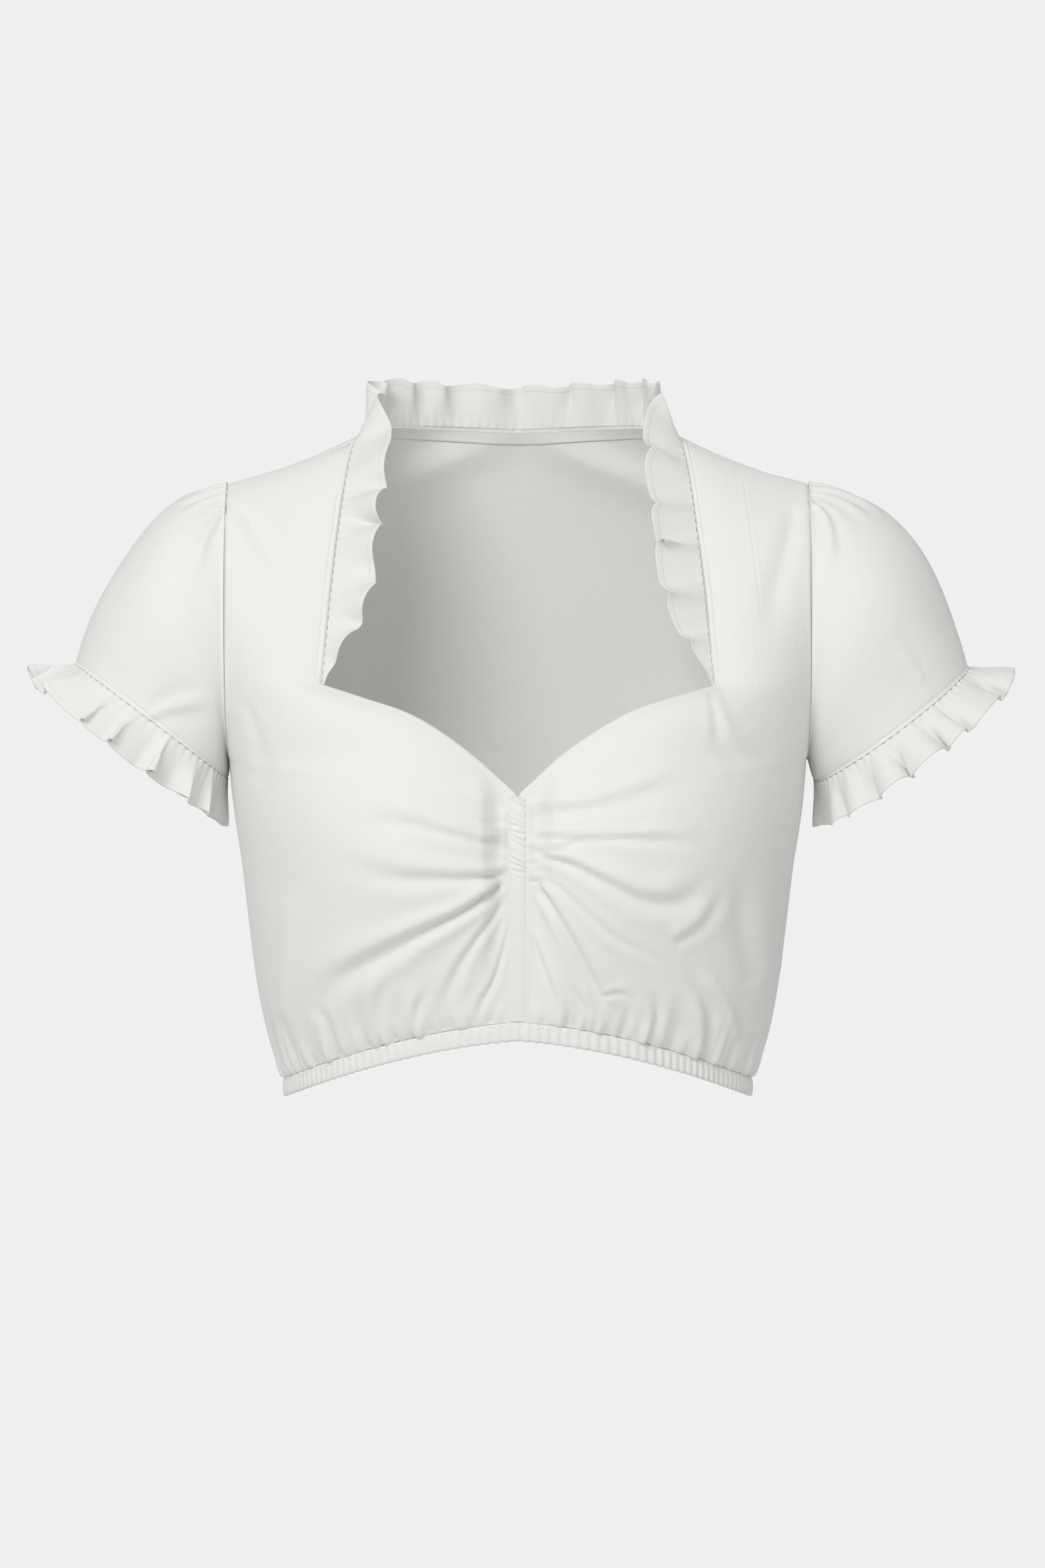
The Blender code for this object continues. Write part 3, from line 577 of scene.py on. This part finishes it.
# Soft drags of the back, each half seen from behind, as for the fronts.
BACK_FOLDS = (
    (((169, -118), (140, -140), (110, -152), (66, -158)), 1.0, 1.4, 0.6, 5.0, 11.0),
    (((168, -204), (140, -212), (115, -214), (80, -209)), 1.2, 1.5, 0.5, 4.5, 10.0),
    (((20, -196), (45, -225), (62, -260), (71, -305)), 0.6, 1.1, 0.6, 7.0, 12.0),
    (((121, -368), (118, -335), (110, -310), (96, -282)), 1.2, 1.9, 1.0, 4.0, 9.0),
    (((60, -357), (61, -330), (58, -310), (51, -288)), 1.0, 1.6, 0.8, 4.0, 8.0),
    (((20, -352), (21, -330), (19, -315), (15, -298)), 0.8, 1.2, 0.8, 3.5, 7.0),
    (((92, -366), (90, -345), (86, -326)), 0.8, 1.3, 0.8, 3.5, 6.0),
)


def back_smooth(u, v):
    return bezier(steering(BACK_SECTIONS, v, (BACK_NECK,), (UNDERARM,)), u)


def back_cloth(u, v):
    place = back_smooth(u, v)
    hem = back_smooth(u, v * 0)
    rise = np.maximum(place[:, 2] - hem[:, 2], 0)
    height = fold_height(place[:, [0, 2]], BACK_FOLDS) * ease(place[:, 0] / 15)
    height += hem_gathers(u * 172 + 3, rise, 4.4)
    height += slack(place, 5.1) * ease(v / 3) * ease(place[:, 0] / 25)
    to_side = np.linalg.norm(place - back_smooth(u * 0 + 1, v), axis=1)
    height *= ease(to_side / 9)
    height += seam_dip(to_side) + seam_dip((SHOULDER - v) * 9)
    return place + normals(back_smooth, u, v, -1.0) * height[:, None]


def back_surface(u, w):
    v = w * SHOULDER
    place = back_cloth(u, v)
    place[:, 1] += 0.1 * ((u > 0.9999) & (v < UNDERARM + 1e-6))
    place[:, 1] += 0.1 * (v > SHOULDER - 1e-6)
    place[:, 0] *= (u > 1e-6) | (v > BACK_NECK + 1e-6)
    return place


bodice_back = lay_cloth(
    "bodice_back", back_surface, (118, 150), (190, 400), mirrored=True, pull=(0.2, 0.4)
)
bodice_back.data.materials.append(bodice_cotton)
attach(bodice_back, "root")
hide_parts("back")

# Neckline edge
# Both the frill and the band inside the back neck follow the neckline from one front corner over
# the back to the other.


def neck_edge(s):
    """The neckline, the way the panel's cloth would go on past it, and the way out of the cloth."""
    up_front = np.linspace(FRONT_CORNER, SHOULDER, 160)
    round_back = np.linspace(SHOULDER, BACK_NECK, 160)
    zeros = np.zeros(160)
    step = zeros + 0.004
    edge = np.vstack([front_smooth(zeros, up_front), back_smooth(zeros, round_back)[1:]])
    out = np.vstack(
        [
            normals(front_smooth, step, up_front),
            normals(back_smooth, step, round_back, -1.0)[1:],
        ]
    )
    out[-1, 0] = 0.0
    edge = np.vstack([edge * MIRROR, edge[-2::-1]])
    out = unit(np.vstack([out * MIRROR, out[-2::-1]]))
    along = np.concatenate([[0], np.cumsum(np.linalg.norm(np.diff(edge, axis=0), axis=1))])
    along /= along[-1]
    tangent = unit(np.gradient(edge, along, axis=0))
    kernel = np.hanning(35)
    kernel /= kernel.sum()

    def softened(values):
        padded = np.vstack([values[:1]] * 17 + [values] + [values[-1:]] * 17)
        return np.stack([np.convolve(padded[:, k], kernel, mode="valid") for k in range(3)], axis=1)

    tangent, out = unit(softened(tangent)), unit(softened(out))

    def at(values):
        return np.stack([np.interp(s, along, values[:, k]) for k in range(3)], axis=1)

    ahead = unit(np.cross(at(tangent), at(out)))
    return at(edge), ahead, at(out)


# Band inside the back neck
# A narrow facing lies under the frill seam on the inside of the back, held by two rows of stitches.

FACING_SHARE = 0.40


def on_back(places, away):
    """Places moved onto the back panel, then away from it by a distance, inwards if negative."""
    u, v = np.meshgrid(np.linspace(0.004, 0.5, 70), np.linspace(9, 15.98, 120))
    u, v = u.ravel(), v.ravel()
    base, out = back_smooth(u, v), normals(back_smooth, u, v, -1.0)
    base, out = np.vstack([base, base * MIRROR]), np.vstack([out, out * MIRROR])
    result = np.empty_like(places)
    directions = np.empty_like(places)
    for row, place in enumerate(places):
        distance = np.linalg.norm(base - place, axis=1)
        near = np.argpartition(distance, 10)[:10]
        weight = 1 / (distance[near] + 0.5) ** 2
        weight /= weight.sum()
        normal = (out[near] * weight[:, None]).sum(axis=0)
        normal /= np.linalg.norm(normal)
        height = ((place - base[near]) @ normal * weight).sum()
        result[row] = place + normal * (away - height)
        directions[row] = normal * np.sign(away)
    return result, directions


def facing_surface(u, w, away=-0.62):
    edge, ahead, out = neck_edge(0.5 + (u - 0.5) * FACING_SHARE)
    below = edge - ahead * (0.6 + 8.6 * w)[:, None]
    return on_back(below, away)[0]


facing = lay_cloth("back_neck_band", facing_surface, (120, 8), (226, 9), 0.4, pull=(0.2, 0.3))
facing.data.materials.append(cotton("facing_cotton", (0.785, 0.79, 0.765)))
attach(facing, "root")
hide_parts("back_neck_facing")

facing_lines = []
for share in (0.12, 0.86):
    run = np.linspace(0.01, 0.99, 120)
    points = facing_surface(run, np.full(120, share))
    moved, inward = on_back(points, -0.9)
    facing_lines.append((moved, inward))
facing_stitches = stitch_row("facing_stitches", facing_lines, 2.4, 1.8, 0.34)
facing_stitches.data.materials.append(sewing_thread)
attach(facing_stitches, "root")

# Neck frill
# One gathered strip with a narrow hem runs up one front edge, round the back neck and down the
# other. On the fronts it falls towards the centre in knife-like waves; at the back it stands up.

FRILL_CLOTH = 0.45
NECK_FRILL_WIDTH = 30.0
NECK_FRILL_WAVES = 22
frill_cotton = cotton("frill_cotton", (0.79, 0.795, 0.765), edge_line=26.0)


def frill_phase(s, waves, warp):
    wobble = warp * np.sin(6 * math.pi * s + 0.8) + warp * np.sin(10 * math.pi * s)
    wobble += 0.6 * warp * np.sin(18 * math.pi * s + 2.0)
    return 2 * math.pi * (waves * s + wobble)


def neck_frill_surface(s, t):
    edge, ahead, out = neck_edge(s)
    half = np.minimum(s, 1 - s) * 2
    inward = np.stack([-np.sign(edge[:, 0]), 0 * s, 0 * s], axis=1)
    up = np.array([0.0, 0.0, 1.0])
    forward = np.array([0.0, -1.0, 0.0])
    rising = ease((half - 0.38) / 0.24)[:, None]
    standing = ease((half - 0.54) / 0.22)[:, None]
    lying = unit(inward + forward * 0.66 + up * 0.05)
    leaning = unit(inward * 0.42 + up * 0.9)
    run = unit(lying * (1 - rising) + leaning * rising * (1 - standing) + up * standing)
    lift = unit(out - run * (out * run).sum(axis=1, keepdims=True))
    along = unit(np.cross(run, lift))
    width = NECK_FRILL_WIDTH * (0.05 + 0.95 * ease(half / 0.2) ** 0.75)
    width *= 1 - 0.12 * ease((half - 0.6) / 0.3)
    phase = frill_phase(s, NECK_FRILL_WAVES, 0.1)
    uneven = 0.85 + 0.25 * np.sin(14 * math.pi * s + 0.4) + 0.15 * np.sin(26 * math.pi * s)
    swing = (5.6 - 1.2 * standing[:, 0]) * uneven * ease(half / 0.15)
    grow = (0.10 + 0.90 * ease(t * 0.9 + 0.05) ** 1.2) * ease(t / 0.22 + 0.25)
    gather = 0.4 * np.cos(2 * math.pi * NECK_FRILL_WAVES * 5 * s + np.sin(40 * s)) * np.exp(-t / 0.16)
    # Each wave leans over the next one, as a soft knife pleat does, and its edge hangs aslant.
    lean = np.where(edge[:, 0] < 0, -1.0, 1.0) * swing * grow
    aslant = 0.05 * width * np.sin(phase + 0.5) * t**2
    base = edge + ahead * 0.35 - out * 0.1
    return (
        base
        + run * (width * t + aslant)[:, None]
        + lift * (swing * grow * (np.cos(phase) + 0.22 * np.cos(2 * phase + 1.0)) + gather)[:, None]
        + along * (lean * (0.72 * np.sin(phase + 0.35) + 0.2 * np.sin(2 * phase)))[:, None]
    )


neck_frill = lay_cloth(
    "neck_frill_cloth",
    neck_frill_surface,
    (880, 20),
    (920, 30),
    FRILL_CLOTH,
    pull=(0.0, 0.2),
)
neck_frill.data.materials.append(frill_cotton)
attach(neck_frill, "root")
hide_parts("neck_frill")

neck_run = np.linspace(0.012, 0.988, 700)
neck_points, neck_ahead, neck_out = neck_edge(neck_run)
neck_stitches = stitch_row(
    "neck_seam_stitches",
    [(neck_points - neck_ahead * 3.6 + neck_out * 0.12, neck_out)],
    2.4,
    1.7,
    0.3,
)
neck_stitches.data.materials.append(sewing_thread)
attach(neck_stitches, "root")

# Sleeves
# Each short sleeve is gathered into the top of the armhole, puffs out over the shoulder and runs
# to an opening that slants up towards the outside. Both hang a little differently.

SLEEVE_PARTS = ("top", "front", "under", "back")
# At the top, front, underarm and back: the pull away from the armhole and the pull back from the
# hem. Then the centre of the opening, and how far its front reaches down the arm.
SLEEVES = {
    "left": {
        "top": ((55, 0, -1), (-14, 0, 55)),
        "front": ((32, -19, -10), (-18, -5, 34)),
        "under": ((3, 0, 0), (-1, 0, 5)),
        "back": ((32, 21, -8), (-18, 6, 34)),
        "centre": (224.0, 2.0, -170.0),
        "dip": 4.5,
    },
    "right": {
        "top": ((46, 0, -5), (-14, 0, 50)),
        "front": ((31, -18, -10), (-18, -5, 32)),
        "under": ((3, 0, 0), (-1, 0, 5)),
        "back": ((32, 21, -8), (-18, 6, 34)),
        "centre": (220.0, 2.0, -168.5),
        "dip": -2.0,
    },
}
SLEEVE_RISE = np.array([45.5, 0.0, 34.2])
SLEEVE_DEPTH = 50.0
SLEEVE_AXIS = np.array([34.2, 0.0, -45.5]) / math.hypot(34.2, 45.5)

SLEEVE_GIRTH = 390.0
# Folds of each sleeve, laid flat: points (way round from the top towards the front, way down the
# sleeve from the armhole), then heights and widths as for the fronts.
SLEEVE_FOLDS = {
    "right": (
        (((27, -3), (42, 8), (57, 16), (76, 22)), 0.9, 2.1, 1.0, 3.0, 7.0),
        (((20, -3), (22, 14), (27, 34)), 1.1, 1.5, 0.6, 2.4, 5.0),
        (((12, -3), (12, 18), (15, 38)), 1.0, 1.4, 0.5, 2.4, 5.0),
        (((5, -3), (5, 14), (5, 28)), 0.7, 1.1, 0.6, 2.2, 4.5),
        (((-3, -3), (-4, 16), (-6, 34)), 0.7, 1.3, 0.7, 2.4, 5.0),
        (((-12, -3), (-14, 18), (-19, 42)), 0.8, 1.5, 0.9, 2.6, 6.0),
        (((-22, -3), (-29, 13), (-44, 28)), 0.8, 1.7, 0.9, 2.8, 6.5),
        (((96, 104), (108, 78), (122, 50), (143, 8)), 0.9, 1.9, 1.1, 2.6, 4.5),
        (((-128, 70), (-138, 44), (-150, 18)), 0.8, 1.4, 0.8, 4.0, 7.0),
    ),
    "left": (
        (((25, -2), (36, 8), (54, 11), (76, 9)), 1.1, 1.8, 0.8, 2.6, 5.5),
        (((17, -3), (21, 20), (29, 40)), 0.8, 1.5, 1.0, 2.4, 5.5),
        (((8, -3), (10, 24), (16, 52)), 1.2, 1.7, 0.7, 2.6, 6.5),
        (((1, -3), (1, 18), (2, 36)), 0.7, 1.2, 0.6, 2.4, 5.0),
        (((-7, -3), (-8, 18), (-11, 40)), 0.8, 1.4, 0.8, 2.4, 5.5),
        (((-16, -3), (-20, 18), (-30, 38)), 0.8, 1.6, 0.9, 2.6, 6.0),
        (((-26, -3), (-36, 10), (-56, 20)), 0.8, 1.6, 0.9, 2.8, 6.5),
        (((70, 112), (76, 92), (86, 74)), 0.5, 0.9, 0.5, 4.0, 7.0),
        (((-118, 78), (-130, 50), (-146, 18)), 0.8, 1.4, 0.8, 4.0, 7.0),
    ),
}


def armhole_rim(samples=400):
    down = np.linspace(SHOULDER, UNDERARM, samples)
    ones = np.ones(samples)
    return np.vstack([front_smooth(ones, down), back_smooth(ones, down[::-1])[1:]])


ARMHOLE = armhole_rim()
ARMHOLE_ALONG = np.concatenate([[0], np.cumsum(np.linalg.norm(np.diff(ARMHOLE, axis=0), axis=1))])


def round_sleeve(values, q):
    top, fore, under, rear = (np.atleast_1d(np.array(values[k], float)) for k in SLEEVE_PARTS)
    turn = 2 * math.pi * q[:, None]
    return (
        (top + fore + under + rear) / 4
        + (top - under) / 2 * np.cos(turn)
        + (fore - rear) / 2 * np.sin(turn)
        + (top - fore + under - rear) / 4 * np.cos(2 * turn)
    )


def sleeve_hem(q, side):
    turn = 2 * math.pi * q[:, None]
    return (
        np.array(SLEEVES[side]["centre"])
        + SLEEVE_RISE * np.cos(turn)
        + np.array([0, -SLEEVE_DEPTH, 0]) * np.sin(turn)
        + SLEEVE_AXIS * SLEEVES[side]["dip"] * np.sin(turn)
    )


def sleeve_smooth(q, t, side):
    at = np.mod(q, 1.0) * ARMHOLE_ALONG[-1]
    rim = np.stack([np.interp(at, ARMHOLE_ALONG, ARMHOLE[:, k]) for k in range(3)], axis=1)
    hem = sleeve_hem(q, side)
    under = 0.5 - 0.5 * np.cos(2 * math.pi * q)
    rim[:, 0] += 0.1 + CLOTH * 0.9 * under**4
    pull_out, pull_back = (
        round_sleeve({part: SLEEVES[side][part][end] for part in SLEEVE_PARTS}, q)
        for end in (0, 1)
    )
    return bezier((rim, rim + pull_out, hem + pull_back, hem), t)


def sleeve_surface(q, t, side):
    place = sleeve_smooth(q, t, side)
    step = 1e-3
    around = sleeve_smooth(q + step, t, side) - sleeve_smooth(q - step, t, side)
    along = sleeve_smooth(q, t + step, side) - sleeve_smooth(q, t - step, side)
    out = unit(np.cross(along, around))
    length = 30 + 125 * (0.5 + 0.5 * np.cos(2 * math.pi * q)) ** 0.8
    down = t * length
    girth = ((q + 0.5) % 1.0 - 0.5) * SLEEVE_GIRTH
    height = fold_height(np.stack([girth, down], axis=1), SLEEVE_FOLDS[side])
    head = 1 - ease((np.abs(girth) - 30) / 12)
    wobble = 0.9 * np.sin(girth / 9.0 + 1.0) + 0.5 * np.sin(girth / 4.1)
    gather = np.cos(2 * math.pi * girth / 4.6 + wobble)
    reach = 9 + 5 * np.sin(girth / 5.3 + 0.5)
    height += (0.6 * gather + 0.35) * head * ease(down / 1.2) * np.exp(-((down / reach) ** 2))
    loose = ease(t / 0.2) * ease((1 - t) / 0.2)
    height += 1.2 * np.sin(math.pi * np.clip(t, 0, 1)) * np.cos(6 * math.pi * q) * (1 - head)
    height += 1.5 * slack(place, 1.9 if side == "left" else 3.3) * loose
    to_hem = (1 - t) * length
    height += seam_dip(down, 0.8, 1.2) + seam_dip(to_hem, 0.5, 0.8)
    # The seam allowance of the frill makes a low ridge, and the frill's gathers show beside it.
    height += 0.4 * bump(to_hem - 1.8, 0.9)
    height += 0.3 * np.cos(2 * math.pi * girth / 4.9) * np.exp(-to_hem / 2.4)
    return place + out * height[:, None]


sleeve_cotton = cotton("sleeve_cotton", BODICE_COLOUR)


def make_sleeve(side, sides):
    obj = lay_cloth(
        "sleeve_cloth_" + side,
        lambda u, w: sleeve_surface(np.mod(u - 0.09 * np.sin(2 * math.pi * u), 1.0), w, side),
        (250, 90),
        (SLEEVE_GIRTH, 150),
        sides=sides,
        pull=(0.0, 0.55),
    )
    obj.data.materials.append(sleeve_cotton)
    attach(obj, "root")
    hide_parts("sleeve_" + side)
    return obj


sleeves = [make_sleeve("left", 1.0), make_sleeve("right", -1.0)]

# Sleeve frills
# A hemmed strip, about one and a half times as long as the opening, is gathered onto each sleeve.
# The seam shows as a fine ridge with small stitches beside it.

SLEEVE_FRILL_WIDTH = 27.5
SLEEVE_FRILL_WAVES = 16
FRILL_FLARE = {"top": 0.72, "front": 0.45, "under": 0.62, "back": 0.5}


def sleeve_frill_surface(q, t, side):
    flare = round_sleeve(FRILL_FLARE, q)
    hem = sleeve_hem(q, side)
    outward = unit(hem - np.array(SLEEVES[side]["centre"]))
    outward = unit(outward - np.outer(outward @ SLEEVE_AXIS, SLEEVE_AXIS))
    run = unit(SLEEVE_AXIS + outward * flare)
    lift = unit(outward - run * (outward * run).sum(axis=1, keepdims=True))
    along = unit(np.cross(run, lift))
    phase = frill_phase(q, SLEEVE_FRILL_WAVES, 0.16) + (1.3 if side == "right" else 0.0)
    under = 0.5 - 0.5 * np.cos(2 * math.pi * q)
    uneven = 0.85 + 0.3 * np.sin(8 * math.pi * q + 1.0)
    swing = 6.6 * (1 - 0.6 * under**6) * uneven
    grow = (0.10 + 0.90 * ease(t * 0.9 + 0.05) ** 1.2) * ease(t / 0.25 + 0.25)
    gather = 0.4 * np.cos(2 * math.pi * SLEEVE_FRILL_WAVES * 4 * q) * np.exp(-t / 0.16)
    lean = 1.0 if side == "left" else -1.0
    aslant = 0.04 * np.sin(phase + 0.5) * t**2
    reach = 0.1 + SLEEVE_FRILL_WIDTH * (t + aslant)
    return (
        hem
        + run * reach[:, None]
        + lift * (swing * grow * (np.cos(phase) + 0.2 * np.cos(2 * phase + 1.0)) + gather)[:, None]
        + along * (lean * swing * grow * 0.8 * np.sin(phase + 0.3))[:, None]
        + along * (lean * swing * grow * 0.22 * np.sin(2 * phase))[:, None]
    )


sleeve_frill_cotton = cotton("sleeve_frill_cotton", (0.79, 0.795, 0.765), edge_line=24.0)


def make_sleeve_frill(side, sides):
    obj = lay_cloth(
        "sleeve_frill_cloth_" + side,
        lambda u, w: sleeve_frill_surface(np.mod(u, 1.0), w, side),
        (560, 20),
        (470, 27.5),
        FRILL_CLOTH,
        sides=sides,
        pull=(0.0, 0.2),
    )
    obj.data.materials.append(sleeve_frill_cotton)
    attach(obj, "root")
    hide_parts("sleeve_frill_" + side)

    run = np.linspace(0, 1, 400)
    points = sleeve_surface(run, np.full(400, 0.972), side)
    outward = unit(points - np.array(SLEEVES[side]["centre"]))
    points = points + outward * 0.3
    mirror = np.array([sides, 1.0, 1.0])
    stitches = stitch_row(
        "sleeve_stitches_" + side, [(points * mirror, outward * mirror)], 2.4, 1.8, 0.32
    )
    stitches.data.materials.append(sewing_thread)
    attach(stitches, "root")
    return obj


sleeve_frills = [make_sleeve_frill("left", 1.0), make_sleeve_frill("right", -1.0)]

# Hem band
# A narrow casing with elastic inside. The cloth is drawn up on it into fine upright ribs, finer
# and more even on the wearer's left.

BAND_HEIGHT = 10.4
BAND_RIBS = 150


def hem_line(u):
    """The lower edge of the panels, with u going round from the centre front."""
    turn = (u * 4) % 4
    t = np.where(turn % 2 > 1, 2 - turn % 2, turn % 2)
    is_front = (turn < 1) | (turn >= 3)
    front_line = bezier(steering(FRONT_SECTIONS, t * 0, (), ()), t)
    back_line = bezier(steering(BACK_SECTIONS, t * 0, (), ()), t)
    line = np.where(is_front[:, None], front_line, back_line)
    line[:, 0] *= np.where(turn < 2, 1, -1)
    out = unit((line + np.array([0.0, 6.0, 0.0])) * np.array([1.0, 1.9, 0.0]))
    return line, out


def band_surface(u, w):
    line, out = hem_line(u)
    # w goes round the casing: up the outside, over, down the inside and back under.
    up = np.interp(w, (0, 0.42, 0.5, 0.92, 1.0), (0, 1, 1, 0, 0))
    inside = ease((w - 0.42) / 0.08) * (1 - ease((w - 0.92) / 0.08))
    phase = 2 * math.pi * BAND_RIBS * u + 1.6 * np.sin(2 * math.pi * 7 * u) + 0.8 * up
    calm = 0.62 + 0.38 * np.sin(2 * math.pi * u + 0.4)
    rib = (0.5 + 0.5 * np.cos(phase)) * (0.55 + 0.45 * calm)
    rib *= 0.85 + 0.15 * np.sin(2 * math.pi * 23 * u)
    full = np.sin(math.pi * np.clip(up, 0.0, 1.0)) ** 0.5
    outer = 0.3 + (0.55 + 1.05 * rib) * (0.35 + 0.65 * full)
    offset = outer * (1 - inside) - 0.7 * inside
    place = line + out * offset[:, None]
    ragged = 0.22 * np.cos(phase + 0.8) * (1 - up)
    place[:, 2] += 0.15 - (BAND_HEIGHT + 0.5) * (1 - up) - ragged
    return place


bm = bmesh.new()
flat_map = bm.loops.layers.uv.new("cut")
bmesh.ops.create_grid(bm, x_segments=1350, y_segments=16, size=0.5)
flat = np.array([v.co for v in bm.verts]) + 0.5
places = band_surface(flat[:, 0], flat[:, 1]) * MM
bm.verts.index_update()
for vert, place in zip(bm.verts, places):
    vert.co = place
for face in bm.faces:
    for loop in face.loops:
        share = flat[loop.vert.index]
        loop[flat_map].uv = (share[0] * 1.15, share[1] * 0.025)
bmesh.ops.remove_doubles(bm, verts=bm.verts, dist=2e-6)
bmesh.ops.recalc_face_normals(bm, faces=bm.faces)
band = as_object("elastic_hem", bm)
band.data.materials.append(cotton("band_cotton", (0.79, 0.795, 0.765)))
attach(band, "root")
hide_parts("hem_band")

run = np.linspace(0, 1, 900)
line, out = hem_line(run)
band_stitches = stitch_row(
    "band_stitches", [(line + out * 1.0 + np.array([0, 0, -1.6]), out)], 2.2, 1.6, 0.3
)
band_stitches.data.materials.append(sewing_thread)
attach(band_stitches, "root")

# Studio
# A pale floor below the frame, one large soft light in front on the left, a weak one on the right.

bm = bmesh.new()
bmesh.ops.create_grid(bm, x_segments=1, y_segments=1, size=2.4)
floor = as_object("floor", bm)
floor.location = (0, 0, -1.1)
paint = Graph("pale_floor")
paint_surface = paint.node(
    "ShaderNodeBsdfPrincipled",
    inputs={"Base Color": (0.86, 0.86, 0.86, 1.0), "Roughness": 0.9},
)
paint_output = paint.node("ShaderNodeOutputMaterial")
paint.tree.links.new(paint_surface.outputs[0], paint_output.inputs[0])
floor.data.materials.append(paint.material)

world = bpy.data.worlds.new("studio")
bpy.context.scene.world = world
world.use_nodes = True
# The backdrop is brighter than the light that the room throws back.
room = world.node_tree.nodes["Background"]
room.inputs["Color"].default_value = (0.863, 0.863, 0.863, 1.0)
room.inputs["Strength"].default_value = 0.62
backdrop = world.node_tree.nodes.new("ShaderNodeBackground")
backdrop.inputs["Color"].default_value = (0.863, 0.863, 0.863, 1.0)
rays = world.node_tree.nodes.new("ShaderNodeLightPath")
seen = world.node_tree.nodes.new("ShaderNodeMixShader")
world.node_tree.links.new(rays.outputs["Is Camera Ray"], seen.inputs[0])
world.node_tree.links.new(room.outputs[0], seen.inputs[1])
world.node_tree.links.new(backdrop.outputs[0], seen.inputs[2])
world.node_tree.links.new(seen.outputs[0], world.node_tree.nodes["World Output"].inputs[0])


def soft_light(name, place, target, size, power):
    lamp = bpy.data.lights.new(name, "AREA")
    lamp.shape = "DISK"
    lamp.size = size
    lamp.energy = power
    holder = bpy.data.objects.new(name, lamp)
    holder.location = place
    way = np.array(target) - np.array(place)
    holder.rotation_euler = (
        math.acos(-way[2] / np.linalg.norm(way)),
        0.0,
        math.atan2(way[1], way[0]) - math.pi / 2,
    )
    bpy.context.scene.collection.objects.link(holder)


soft_light("key", (-0.85, -2.4, 1.3), (0, 0, -0.2), 1.5, 42)
soft_light("fill", (1.8, -2.4, 0.1), (0, 0, -0.2), 1.8, 5)

camera = bpy.data.cameras.new("camera")
camera.sensor_width = 36.0
camera.lens = 36.0 * 3.0 / 0.9408
camera_holder = bpy.data.objects.new("camera", camera)
camera_holder.location = (0.0028, -3.0, -0.206)
camera_holder.rotation_euler = (math.pi / 2, 0, 0)
bpy.context.scene.collection.objects.link(camera_holder)
bpy.context.scene.camera = camera_holder
bpy.context.scene.view_settings.view_transform = "Standard"
